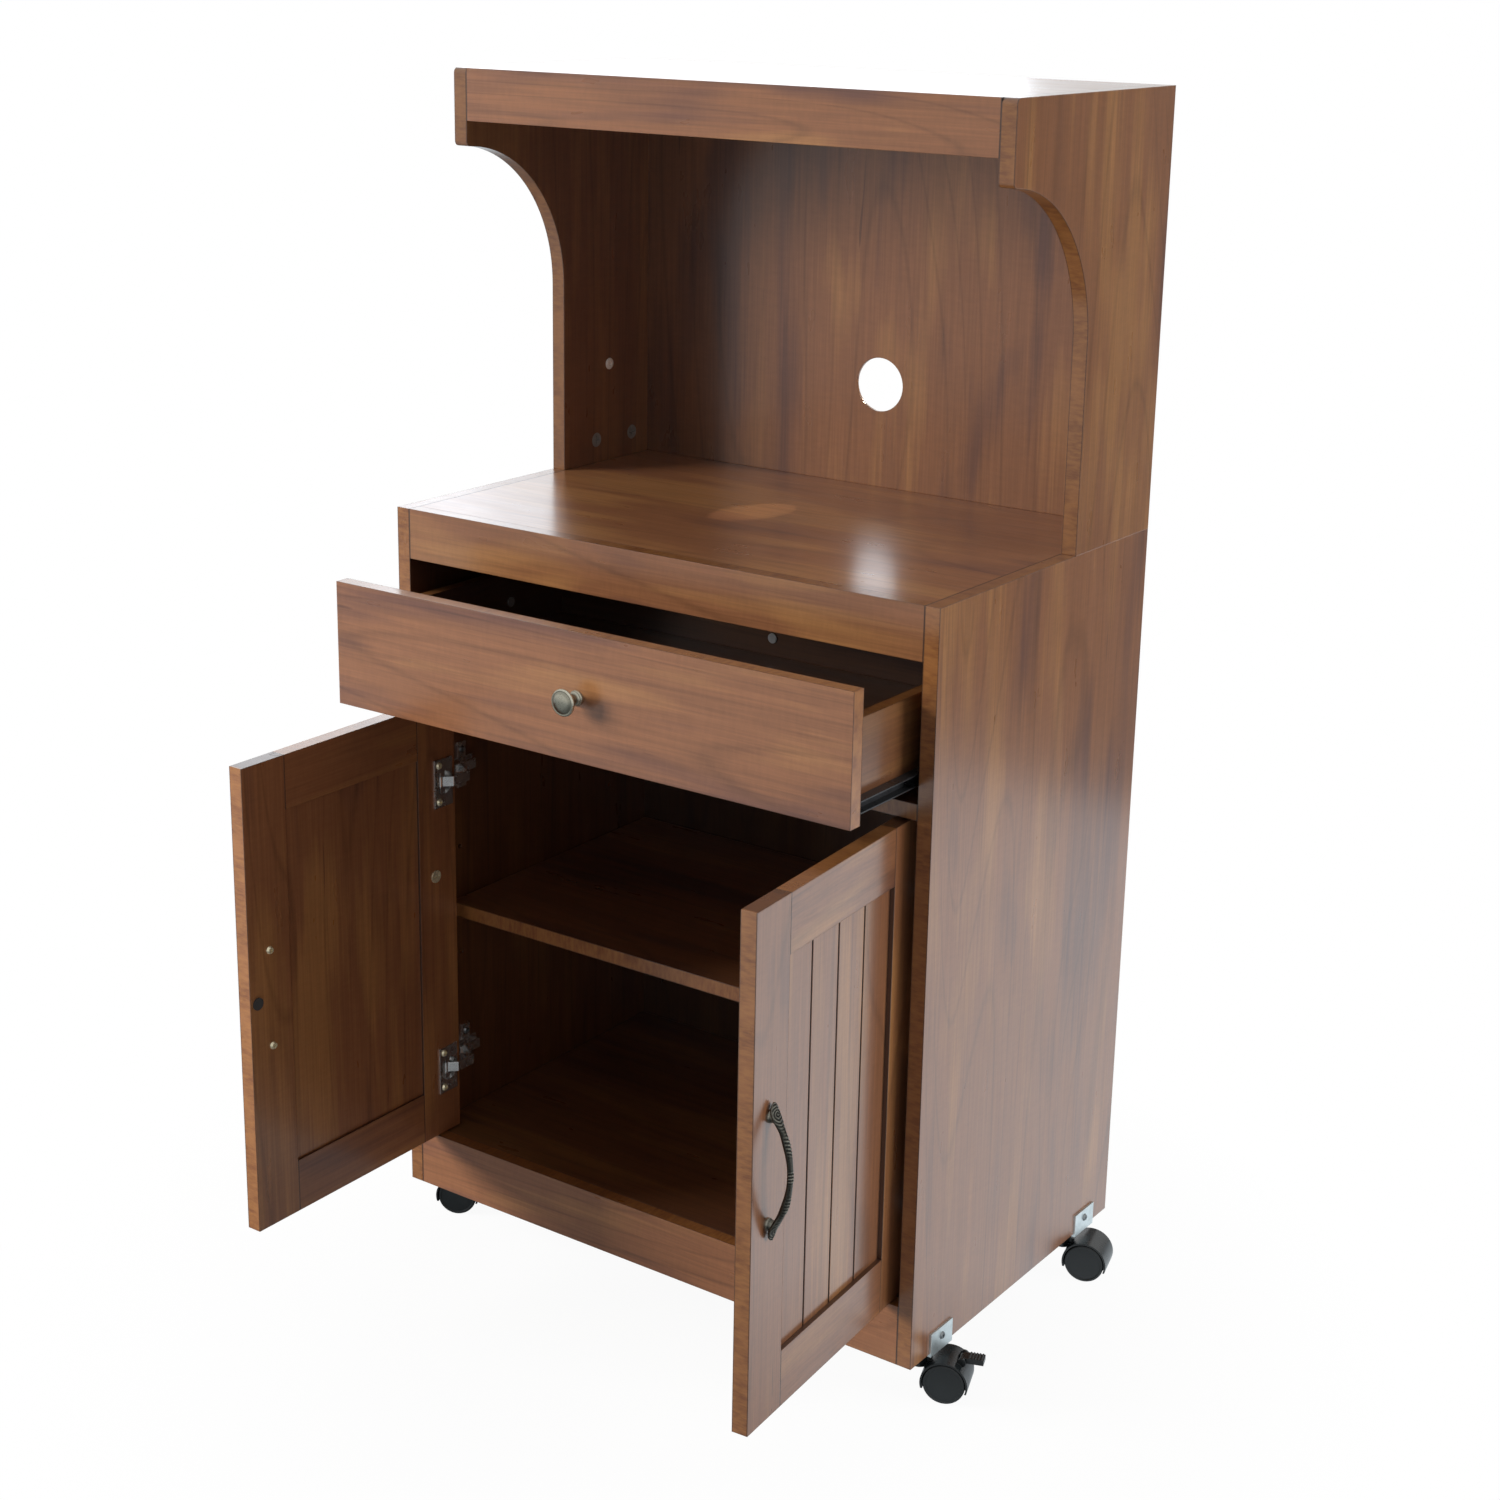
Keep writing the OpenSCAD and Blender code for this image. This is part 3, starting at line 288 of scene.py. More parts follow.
class Recipe:
    """A material's nodes, added one by one."""

    def __init__(self, name):
        self.material = bpy.data.materials.new(name)
        self.material.use_nodes = True
        self.nodes = self.material.node_tree.nodes
        self.links = self.material.node_tree.links
        self.nodes.clear()
        self.output = self.nodes.new("ShaderNodeOutputMaterial")
        self.surface = self.nodes.new("ShaderNodeBsdfPrincipled")
        self.links.new(self.surface.outputs[0], self.output.inputs["Surface"])
        self.place = self.nodes.new("ShaderNodeTexCoord")

    def set(self, socket, value):
        """Links a socket, or sets its value."""
        if isinstance(value, bpy.types.NodeSocket):
            self.links.new(value, socket)
        else:
            socket.default_value = value

    def math(self, operation, first, second=0.0, clamp=False):
        """A Math node."""
        node = self.nodes.new("ShaderNodeMath")
        node.operation = operation
        node.use_clamp = clamp
        self.set(node.inputs[0], first)
        self.set(node.inputs[1], second)
        return node.outputs[0]

    def dot(self, vector, direction):
        """A vector's share along a direction."""
        node = self.nodes.new("ShaderNodeVectorMath")
        node.operation = "DOT_PRODUCT"
        self.set(node.inputs[0], vector)
        node.inputs[1].default_value = direction
        return node.outputs["Value"]

    def mapped(self, vector, scale=(1, 1, 1), turn=(0, 0, 0), shift=(0, 0, 0)):
        """A Mapping node."""
        node = self.nodes.new("ShaderNodeMapping")
        self.set(node.inputs["Vector"], vector)
        node.inputs["Location"].default_value = shift
        node.inputs["Rotation"].default_value = turn
        node.inputs["Scale"].default_value = scale
        return node.outputs[0]

    def noise(self, vector, scale, detail=2.0, roughness=0.5, distortion=0.0):
        """A Noise node's value."""
        node = self.nodes.new("ShaderNodeTexNoise")
        self.set(node.inputs["Vector"], vector)
        node.inputs["Scale"].default_value = scale
        node.inputs["Detail"].default_value = detail
        node.inputs["Roughness"].default_value = roughness
        node.inputs["Distortion"].default_value = distortion
        return node.outputs["Fac"]

    def spread(self, value, from_low, from_high, to_low=0.0, to_high=1.0):
        """A Map Range node."""
        node = self.nodes.new("ShaderNodeMapRange")
        self.set(node.inputs["Value"], value)
        node.inputs["From Min"].default_value = from_low
        node.inputs["From Max"].default_value = from_high
        node.inputs["To Min"].default_value = to_low
        node.inputs["To Max"].default_value = to_high
        return node.outputs[0]

    def ramp(self, value, stops):
        """A Color Ramp node through (place, colour) stops."""
        node = self.nodes.new("ShaderNodeValToRGB")
        self.set(node.inputs[0], value)
        marks = node.color_ramp.elements
        while len(marks) < len(stops):
            marks.new(0.5)
        for mark, (where, colour) in zip(marks, stops):
            mark.position = where
            mark.color = (*colour, 1)
        return node.outputs[0]

    def scaled(self, colour, value):
        """A colour times a value."""
        node = self.nodes.new("ShaderNodeVectorMath")
        node.operation = "SCALE"
        self.set(node.inputs[0], colour)
        self.set(node.inputs["Scale"], value)
        return node.outputs[0]

    def mix(self, share, first, second):
        """A Mix node for colours."""
        node = self.nodes.new("ShaderNodeMix")
        node.data_type = "RGBA"
        self.set(node.inputs["Factor"], share)
        self.set(node.inputs[6], first if isinstance(first, bpy.types.NodeSocket) else (*first, 1))
        self.set(node.inputs[7], second if isinstance(second, bpy.types.NodeSocket) else (*second, 1))
        return node.outputs[2]

    def bump(self, height, distance, strength=1.0, rounding=0.0):
        """A Bump node, over edges rounded by the Bevel node."""
        node = self.nodes.new("ShaderNodeBump")
        self.set(node.inputs["Height"], height)
        node.inputs["Distance"].default_value = distance
        node.inputs["Strength"].default_value = strength
        if rounding:
            edges = self.nodes.new("ShaderNodeBevel")
            edges.samples = 4
            edges.inputs["Radius"].default_value = rounding
            self.links.new(edges.outputs[0], node.inputs["Normal"])
        self.links.new(node.outputs[0], self.surface.inputs["Normal"])
        self.links.new(node.outputs[0], self.surface.inputs["Coat Normal"])


GRAIN_TURNS = {"X": (0, -math.pi / 2, 0), "Y": (math.pi / 2, 0, 0), "Z": (0, 0, 0)}
# Each layer of the print: its stretch with the grain along Z, then scale, detail, roughness and distortion.
PRINT_LAYERS = {
    "bands": ((1, 1, 0.12), 21, 2.5, 0.5, 0.4),
    "patches": ((1, 1, 0.34), 7.5, 2, 0.5, 0.7),
    "streaks": ((1, 1, 0.035), 150, 3, 0.6),
    "fibres": ((1, 1, 0.02), 430, 2, 0.65),
    "ripples": ((0.45, 0.45, 1.6), 150, 2, 0.6, 0.3),
    "figure": ((1, 1, 0.15), 4.2, 1.2, 0.45, 0.35),
    "cracks": ((1, 1, 0.07), 95, 2, 0.55, 0.5),
    "ticks": ((0.25, 0.25, 1), 330, 2, 0.65),
    "waves": ((0.6, 0.6, 0.5), 70, 2, 0.5),
    "gloss": ((1, 1, 0.3), 40, 3, 0.6),
}
# How far a board's seed moves the print, and where on the mixed layers its four tones stand.
SEED_SHIFT = (1.37, 0.71, 2.13)
TONE_STOPS = (0.385, 0.475, 0.53, 0.605)
RING_COUNT = 22
CRACK_COLOUR = (0.040, 0.018, 0.013)
# Painted shade in the grooves of a door's panel.
GROOVE_SHADE_COLOUR = (0.022, 0.008, 0.006)
SEAM_COLOUR = (0.012, 0.006, 0.004)
GLUE_COLOUR = (0.030, 0.012, 0.007)
# Plain dark colour on the inner edges of a door's frame, round its panel.
DOOR_INNER_EDGE_COLOUR = (0.070, 0.027, 0.013)
BAND_TICK_COLOUR = (0.165, 0.058, 0.020)
BAND_WAVE_COLOUR = (0.33, 0.14, 0.048)
BAND_DEPTH = 0.002
# The growth rings' line: its width as a share of a ring, and its darkness.
RING_LINE, RING_SHADE = 0.08, 0.80
# From where to where a cracked streak fades in, and how much of it shows; the same for the joints between
# boards and for the band's glue line, in metres from the edge.
CRACK_START, CRACK_END, CRACK_SHARE = 0.735, 0.77, 0.55
SEAM_START, SEAM_END, SEAM_SHARE = 0.0014, 0.0006, 0.85
GLUE_START, GLUE_END, GLUE_SHARE = 0.0011, 0.0004, 0.7


def cherry_board(name, grain, faces, seed, seams=(), tone_and_painted_light=1.0, outer=None, sunk=None,
                 band_tone_and_light=None, thick=None, inner=None, coat=None):
    """Cherry laminate with its grain along an axis, and an edge band off the faces' normal.

    seams holds (direction, middle, half) for the joints with the neighbouring boards, outer the same
    for the edges that carry the band, the other edges then getting a plain dark colour, sunk (direction,
    upper, lower) for the grooves in a face, which get painted shade, and thick (middle, half) for the
    board's thickness, at whose corners the band's glue line shows. inner (direction, level, share) paints
    shade on the face that is turned to the inside, below a level. The board's brightness scales all its
    colours, partly as its own and partly as painted light and shade."""
    finish = bpy.context.scene.cart_finish
    recipe = Recipe(name)
    here = recipe.place.outputs["Object"]
    along = recipe.mapped(here, turn=GRAIN_TURNS[grain])
    shifted = recipe.mapped(along, shift=tuple(seed * part for part in SEED_SHIFT))

    def layer(kind):
        stretch, *settings = PRINT_LAYERS[kind]
        return recipe.noise(recipe.mapped(shifted, scale=stretch), *settings)

    # Scales a colour by the board's brightness, which is partly its own and partly painted light and shade.
    def lit_and_toned(colour, tone_and_painted_light=tone_and_painted_light):
        return tuple(min(1, part * tone_and_painted_light) for part in colour)

    # The band's brightness, partly its own and partly painted light and shade, is at least 1 unless given.
    if band_tone_and_light is None:
        band_tone_and_light = max(tone_and_painted_light, 1)

    streaks, fibres = layer("streaks"), layer("fibres")
    mixed = recipe.math("ADD", recipe.math("MULTIPLY", layer("bands"), 0.45),
                        recipe.math("MULTIPLY", layer("patches"), 0.45))
    mixed = recipe.math("ADD", mixed, recipe.math("MULTIPLY", streaks, 0.1))
    tones = [lit_and_toned(tint) for tint in (finish.cherry_dark, finish.cherry, finish.cherry, finish.cherry_light)]
    colour = recipe.ramp(mixed, list(zip(TONE_STOPS, tones)))
    rings = recipe.math("FRACT", recipe.math("MULTIPLY", layer("figure"), RING_COUNT))
    from_line = recipe.math("ABSOLUTE", recipe.math("SUBTRACT", rings, 0.5))
    line = recipe.spread(from_line, 0.0, RING_LINE, RING_SHADE, 1.0)
    shade = recipe.math("MULTIPLY", line, recipe.spread(fibres, 0.3, 0.7, 0.86, 1.13))
    shade = recipe.math("MULTIPLY", shade, recipe.spread(streaks, 0.3, 0.7, 0.94, 1.05))
    shade = recipe.math("MULTIPLY", shade, recipe.spread(layer("ripples"), 0.3, 0.7, 0.95, 1.04))
    # Painted shade: the face turned to the inside is darkened below a level.
    if inner:
        direction, level, share = inner
        depth = recipe.dot(here, direction)
        shade = recipe.math("MULTIPLY", shade, recipe.spread(depth, level - 0.0002, level + 0.0002, share, 1.0))
    colour = recipe.scaled(colour, shade)
    cracked = recipe.spread(layer("cracks"), CRACK_START, CRACK_END, 0.0, CRACK_SHARE)
    colour = recipe.mix(cracked, colour, lit_and_toned(CRACK_COLOUR))
    # The grooves in a face get painted shade.
    if sunk:
        direction, upper, lower = sunk
        depth = recipe.dot(here, direction)
        inside = recipe.math("MULTIPLY", recipe.math("LESS_THAN", depth, upper),
                             recipe.math("GREATER_THAN", depth, lower))
        colour = recipe.mix(inside, colour, GROOVE_SHADE_COLOUR)
    else:
        band = recipe.mix(recipe.spread(layer("ticks"), 0.35, 0.68), lit_and_toned(finish.edge_band, band_tone_and_light),
                          lit_and_toned(BAND_TICK_COLOUR, band_tone_and_light))
        band = recipe.mix(recipe.spread(layer("waves"), 0.4, 0.7, 0.0, 0.5), band,
                          lit_and_toned(BAND_WAVE_COLOUR, band_tone_and_light))
        if thick:
            centre, half = thick
            out = recipe.math("ABSOLUTE", recipe.math("SUBTRACT", recipe.dot(here, faces), centre))
            glue = recipe.spread(out, half - GLUE_START, half - GLUE_END, 0.0, GLUE_SHARE)
            band = recipe.mix(glue, band, GLUE_COLOUR)
        # Only the outer edges carry the band; the others get a plain dark colour.
        if outer:
            direction, centre, half = outer
            out = recipe.math("ABSOLUTE", recipe.math("SUBTRACT", recipe.dot(here, direction), centre))
            band = recipe.mix(recipe.math("GREATER_THAN", out, half - BAND_DEPTH), DOOR_INNER_EDGE_COLOUR, band)
        facing = recipe.math("ABSOLUTE", recipe.dot(recipe.place.outputs["Normal"], faces))
        colour = recipe.mix(recipe.math("LESS_THAN", facing, 0.5), colour, band)
    for direction, centre, half in seams:
        across = recipe.math("ABSOLUTE", recipe.math("SUBTRACT", recipe.dot(here, direction), centre))
        near = recipe.spread(across, half - SEAM_START, half - SEAM_END)
        colour = recipe.mix(recipe.math("MULTIPLY", near, SEAM_SHARE), colour, SEAM_COLOUR)
    surface = recipe.surface
    recipe.links.new(colour, surface.inputs["Base Color"])
    gloss = recipe.spread(layer("gloss"), 0.3, 0.7,
                          finish.laminate_roughness - 0.03, finish.laminate_roughness + 0.04)
    recipe.links.new(gloss, surface.inputs["Roughness"])
    surface.inputs["IOR"].default_value = 1.5
    surface.inputs["Coat Weight"].default_value = finish.laminate_coat if coat is None else coat
    surface.inputs["Coat Roughness"].default_value = finish.coat_roughness
    surface.inputs["Coat IOR"].default_value = 1.55
    recipe.bump(fibres, 0.00003, 0.25, finish.edge_rounding)
    return recipe.material


def plated(name, colour, roughness, smudge=0.08, rounding=0.0004, metal=1.0, painted_shade_above=None):
    """Plated metal with a faint brushed, smudged gloss, and painted shade above a height."""
    recipe = Recipe(name)
    place = recipe.place.outputs["Object"]
    brushed = recipe.noise(recipe.mapped(place, scale=(1, 1, 0.06)), 900, 2, 0.6)
    cloudy = recipe.noise(place, 90, 3, 0.6)
    dark = tuple(part * 0.82 for part in colour)
    colour = recipe.mix(recipe.spread(cloudy, 0.35, 0.7), colour, dark)
    # Painted shade: the colour is darkened above the given height.
    if painted_shade_above:
        height = recipe.dot(place, tuple(UP))
        colour = recipe.scaled(colour, recipe.spread(height, painted_shade_above - 0.001, painted_shade_above + 0.001, 1.0, 0.35))
    recipe.links.new(colour, recipe.surface.inputs["Base Color"])
    recipe.links.new(recipe.spread(cloudy, 0.3, 0.7, roughness - smudge, roughness + smudge),
                     recipe.surface.inputs["Roughness"])
    recipe.surface.inputs["Metallic"].default_value = metal
    recipe.bump(brushed, 0.00002, 0.4, rounding)
    return recipe.material


def antique(name, dark=(0.030, 0.029, 0.026), gain=1.0):
    """Dark pewter, rubbed bright on what stands out."""
    finish = bpy.context.scene.cart_finish
    recipe = Recipe(name)
    place = recipe.place.outputs["Object"]
    pits = recipe.noise(place, 700, 3, 0.6)
    shape = recipe.nodes.new("ShaderNodeNewGeometry")
    rubbed = recipe.spread(shape.outputs["Pointiness"], 0.5, 0.56)
    rubbed = recipe.math("MULTIPLY", rubbed, recipe.spread(pits, 0.3, 0.6, 0.4, 1.0), True)
    bright = tuple(part * gain for part in finish.pewter)
    recipe.links.new(recipe.mix(rubbed, dark, bright), recipe.surface.inputs["Base Color"])
    recipe.links.new(recipe.spread(pits, 0.3, 0.7, 0.24, 0.42), recipe.surface.inputs["Roughness"])
    recipe.surface.inputs["Metallic"].default_value = 1.0
    recipe.bump(pits, 0.00005, 0.5)
    return recipe.material


def moulded(name, colour, roughness, grain=0.00005, rounding=0.0006):
    """Moulded plastic or rubber with a fine skin."""
    recipe = Recipe(name)
    place = recipe.place.outputs["Object"]
    skin = recipe.noise(place, 1400, 2, 0.6)
    cloudy = recipe.noise(place, 60, 3, 0.6)
    lighter = tuple(part * 1.5 + 0.003 for part in colour)
    recipe.links.new(recipe.mix(recipe.spread(cloudy, 0.35, 0.75), colour, lighter),
                     recipe.surface.inputs["Base Color"])
    recipe.links.new(recipe.spread(cloudy, 0.3, 0.7, roughness - 0.05, roughness + 0.07),
                     recipe.surface.inputs["Roughness"])
    recipe.bump(skin, grain, 0.5, rounding)
    return recipe.material


# ---------------------------------------------------------------- pieces


class CART_OT_boards(bpy.types.Operator):
    """Finish the case, the hutch, the shelf and the drawer in cherry laminate."""

    bl_idname = "cart.boards"
    bl_label = "Boards"

    def execute(self, context):
        to_sides = [((1, 0, 0), 0.0, high("counter_top").x)]
        # Each board: grain, faces' normal, seed, seams, and a brightness that is partly its own and partly
        # painted light and shade: painted shade darkens the drawer's sides and back and the case's bottom, and
        # painted light lifts the counter and the plinth.
        plans = {
            "side_panel_left": ("Z", (1, 0, 0), 1.1, (), 1.0),
            "side_panel_right": ("Z", (1, 0, 0), 2.3, (), 1.08),
            "hutch_side_left": ("Z", (1, 0, 0), 3.7, (), 0.9),
            "hutch_side_right": ("Z", (1, 0, 0), 4.9, (), 0.93),
            "counter_top": ("X", (0, 0, 1), 5.2, to_sides, 1.42),
            "counter_rail": ("X", (0, 1, 0), 6.6, to_sides, 1.0),
            "divider": ("X", (0, 0, 1), 7.4, to_sides, 1.0),
            "bottom_panel": ("X", (0, 0, 1), 8.8, to_sides, 0.8),
            "plinth_rail": ("X", (0, 1, 0), 9.5, to_sides, 1.38),
            "hutch_top": ("X", (0, 0, 1), 10.3, to_sides, 1.0),
            "hutch_rail": ("X", (0, 1, 0), 11.9, to_sides, 1.08),
            "shelf": ("X", (0, 0, 1), 12.2, (), 1.2),
            "drawer_front": ("X", (0, 1, 0), 13.6, (), 1.2),
            "drawer_side_left": ("Y", (1, 0, 0), 14.1, (), 0.45),
            "drawer_side_right": ("Y", (1, 0, 0), 15.7, (), 0.75),
            "drawer_back": ("X", (0, 1, 0), 16.4, (), 0.35),
        }
        # Painted shade on the bands of the hutch's sides, which are made darker.
        band_tones_and_light = {"hutch_side_left": 0.62, "hutch_side_right": 0.78, "side_panel_right": 1.0}
        coats = {"side_panel_right": 0.95}
        # Painted shade on the inside face of the left side panel.
        painted_inside_shades = {"side_panel_left": ((-1, 0, 0), -middle("side_panel_left").x, 0.55)}
        for node, (grain, faces, seed, seams, tone_and_painted_light) in plans.items():
            dress(frame["nodes"][node], cherry_board("Cherry " + node, grain, faces, seed, seams, tone_and_painted_light,
                                                     band_tone_and_light=band_tones_and_light.get(node), inner=painted_inside_shades.get(node),
                                                     thick=reach_along(frame["nodes"][node], Vector(faces)),
                                                     coat=coats.get(node)))
        # Each sheet: grain, faces' normal, seed, a brightness partly its own and partly painted shade, which
        # darkens the drawer's bottom, and painted shade on the inside face of the case's back.
        sheets = {
            "base_back": ("Z", (0, 1, 0), 17.3, 0.86, ((0, 1, 0), middle("base_back").y, 0.3)),
            "hutch_back": ("Z", (0, 1, 0), 18.2, 0.86, None),
            "drawer_bottom": ("X", (0, 0, 1), 19.4, 0.5, None),
        }
        for node, (grain, faces, seed, tone_and_painted_light, inner) in sheets.items():
            dress(frame["nodes"][node],
                  cherry_board("Hardboard " + node, grain, faces, seed, tone_and_painted_light=tone_and_painted_light, inner=inner))
        return {"FINISHED"}


class CART_OT_doors(bpy.types.Operator):
    """Finish the two doors in cherry laminate."""

    bl_idname = "cart.doors"
    bl_label = "Doors"

    def execute(self, context):
        # Each door: side, outward normal, seed, a brightness partly its own and partly painted light, and its
        # coat.
        plans = (("left", LEFT_OUTWARD, 21.3, 1.25, None), ("right", RIGHT_OUTWARD, 27.6, 1.05, 0.95))
        for side, outward, seed, tone_and_painted_light, coat in plans:
            width_line = UP.cross(outward)
            stiles = frame["nodes"][side + "_door_stiles"]
            rails = frame["nodes"][side + "_door_rails"]
            panel = frame["nodes"][side + "_door_panel"]
            door_middle, door_half = reach_along(stiles, width_line)
            tall_middle, tall_half = reach_along(rails, UP)
            panel_middle, panel_half = reach_along(panel, outward)
            face = panel_middle + panel_half
            dress(stiles, cherry_board("Cherry " + side + " stiles", "Z", tuple(outward), seed, (), tone_and_painted_light,
                                       outer=(tuple(width_line), door_middle, door_half),
                                       thick=reach_along(stiles, outward), coat=coat))
            dress(rails, cherry_board("Cherry " + side + " rails", "Y", tuple(outward), seed + 1.4,
                                      [(tuple(width_line), door_middle, door_half - STILE_WIDTH)], tone_and_painted_light,
                                      outer=((0, 0, 1), tall_middle, tall_half), coat=coat))
            dress(panel, cherry_board("Cherry " + side + " panel", "Z", tuple(outward), seed + 2.9, (), tone_and_painted_light,
                                      sunk=(tuple(outward), face - GROOVE_TOP, face - GROOVE_FLOOR), coat=coat))
        return {"FINISHED"}


class CART_OT_fittings(bpy.types.Operator):
    """Finish the hinges, screws, runners and brackets."""

    bl_idname = "cart.fittings"
    bl_label = "Metal fittings"

    def execute(self, context):
        nickel = plated("Bright nickel", (0.84, 0.84, 0.83), 0.24, metal=0.9)
        zinc = plated("Satin zinc", (0.74, 0.82, 0.84), 0.36, metal=0.85)
        # Dark zinc: the frame screws are darkened as painted shade of their cross recesses; the nails and nuts
        # share it.
        dark_zinc_and_shade = plated("Dull zinc", (0.26, 0.28, 0.29), 0.38)
        brass = plated("Brass plate", (0.92, 0.85, 0.60), 0.28, metal=0.5)
        cast = plated("Cast zinc", (0.60, 0.62, 0.63), 0.38, metal=0.6)
        # The cams in the hutch, above the counter, get painted shade.
        cams = plated("Cam cover zinc", (0.88, 0.88, 0.86), 0.38, metal=0.1, painted_shade_above=high("counter_top").z)
        black = moulded("Black runner enamel", (0.02, 0.021, 0.023), 0.3, 0.00002, 0.0003)
        rubber = moulded("Bumper rubber", (0.03, 0.03, 0.03), 0.7)
        roller = moulded("Roller nylon", (0.05, 0.05, 0.05), 0.45)
        finishes = {
            nickel: ("shelf_pins", "hinge_plates", "hinge_arms", "left_hinge_cups", "right_hinge_cups"),
            cast: ("drawer_caps",),
            cams: ("cam_fittings",),
            zinc: ("caster_brackets", "caster_stems"),
            dark_zinc_and_shade: ("back_nails", "frame_screws", "stem_nuts"),
            brass: ("knob_screw", "left_door_screws", "right_door_screws"),
            black: ("cabinet_runners", "drawer_runners"),
            rubber: ("left_door_bumper", "right_door_bumper"),
            roller: ("cabinet_rollers", "drawer_rollers"),
        }
        for material, nodes in finishes.items():
            for node in nodes:
                dress(frame["nodes"][node], material)
        return {"FINISHED"}


# The handle, in metres from its middle.
BOW_HALF_LENGTH = 0.0614
BOW_SCREW = 0.048
BOW_FOOT_HEIGHT = 0.0062
BOW_LEAF_HEIGHT = 0.0034
BOW_SOFTNESS = 0.0016
LEAF_START, LEAF_BLEND, LEAF_THICKNESS = 0.034, 0.016, 0.0026
SWELL_PLACE, SWELL_WIDTH, SWELL = 0.027, 0.011, 0.0007
TIP_START, TIP_WIDE, TIP_THICK = 0.0505, 0.06, 0.35
COLLAR_WIDTH, COLLAR_PITCH, COLLAR_RELIEF = 0.0048, 0.0029, 0.00062
RIBS_PLACE, RIBS_WIDTH, RIBS_PITCH, RIBS_RELIEF = 0.0265, 0.0075, 0.0030, 0.00060
SCROLL_PLACE, SCROLL_PITCH, SCROLL_RELIEF = 0.0515, 0.0024, 0.00055
SLOPE_STEP = 1e-5
BOW_RINGS, BOW_SIDES, ROD_SIDES = 260, 40, 32
POST_OUTLINE = [(0.0054, 0.0), (0.0054, 0.0014), (0.0046, 0.0024), (0.0042, 0.0060)]


def bow_shape(share, turn):
    """A point of the handle's skin, with Z outward and Y along the handle."""
    sizes = bpy.context.scene.cart_sizes
    along = (share * 2 - 1) * BOW_HALF_LENGTH
    reach = sizes.bow_reach
    rise = reach - BOW_FOOT_HEIGHT
    arc = (BOW_SCREW ** 2 + rise ** 2) / (2 * rise)

    def height(place):
        bow = reach - (arc - math.sqrt(max(arc ** 2 - place ** 2, 0)))
        return BOW_LEAF_HEIGHT + BOW_SOFTNESS * math.log(1 + math.exp((bow - BOW_LEAF_HEIGHT) / BOW_SOFTNESS))

    slope = (height(along + SLOPE_STEP) - height(along - SLOPE_STEP)) / (2 * SLOPE_STEP)
    tilt = math.atan(slope)
    far = abs(along)
    leaf = max(0.0, min(1.0, (far - LEAF_START) / LEAF_BLEND))
    leaf = leaf * leaf * (3 - 2 * leaf)
    swell = SWELL * math.exp(-(((far - SWELL_PLACE) / SWELL_WIDTH) ** 2))
    tip = max(0.0, 1 - max(0.0, (far - TIP_START) / (BOW_HALF_LENGTH - TIP_START)) ** 2) ** 0.5
    wide = (sizes.bow_radius * (1 - leaf) + swell + sizes.leaf_width * leaf) * max(tip, TIP_WIDE)
    thick = (sizes.bow_radius * (1 - leaf) + swell + LEAF_THICKNESS * leaf) * max(tip, TIP_THICK)
    side = wide * math.cos(turn)
    front = max(0.0, math.sin(turn))
    collar = math.exp(-((far / COLLAR_WIDTH) ** 4))
    ribs = math.exp(-(((far - RIBS_PLACE) / RIBS_WIDTH) ** 4))
    relief = COLLAR_RELIEF * collar * math.cos(2 * math.pi * along / COLLAR_PITCH + turn)
    relief += RIBS_RELIEF * ribs * front * math.cos(2 * math.pi * far / RIBS_PITCH + 1.5 * math.cos(turn))
    scroll = math.hypot(side, far - SCROLL_PLACE)
    spiral = 2 * math.pi * scroll / SCROLL_PITCH + 1.3 * math.atan2(side, far - SCROLL_PLACE)
    relief += SCROLL_RELIEF * leaf * front * math.cos(spiral)
    side += relief * 0.5 * math.cos(turn)
    out = thick * math.sin(turn) + relief * front
    y = along - out * math.sin(tilt)
    z = height(along) + out * math.cos(tilt)
    return Vector((side, y, max(z, 0.0)))


class CART_OT_handles(bpy.types.Operator):
    """Model the two bow handles with leaves at their ends."""

    bl_idname = "cart.handles"
    bl_label = "Handles"

    def execute(self, context):
        metal = antique("Antique pewter")
        bow = ringed("bow_skin", BOW_RINGS, BOW_SIDES, bow_shape)
        posts = []
        for end in (-BOW_SCREW, BOW_SCREW):
            post = turned("bow_post", POST_OUTLINE, ROD_SIDES)
            put(post, Vector((0, end, 0)), UP, Vector((0, 1, 0)))
            posts.append(post)
        pattern = join("bow_handle", [bow, *posts])
        smooth(pattern, 60)
        dress(pattern, metal)
        for side, outward in (("left", LEFT_OUTWARD), ("right", RIGHT_OUTWARD)):
            node = side + "_handle"
            base = reach_along(frame["nodes"][node], outward)
            across = reach_along(frame["nodes"][node], UP.cross(outward))
            place = outward * (base[0] - base[1]) + UP.cross(outward) * across[0] + UP * middle(node).z
            handle = copied(pattern, side + "_bow_handle")
            put(handle, place, outward)
            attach(handle, side + "_door")
            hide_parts(node)
        remove(pattern)
        return {"FINISHED"}


KNOB_SIDES = 64


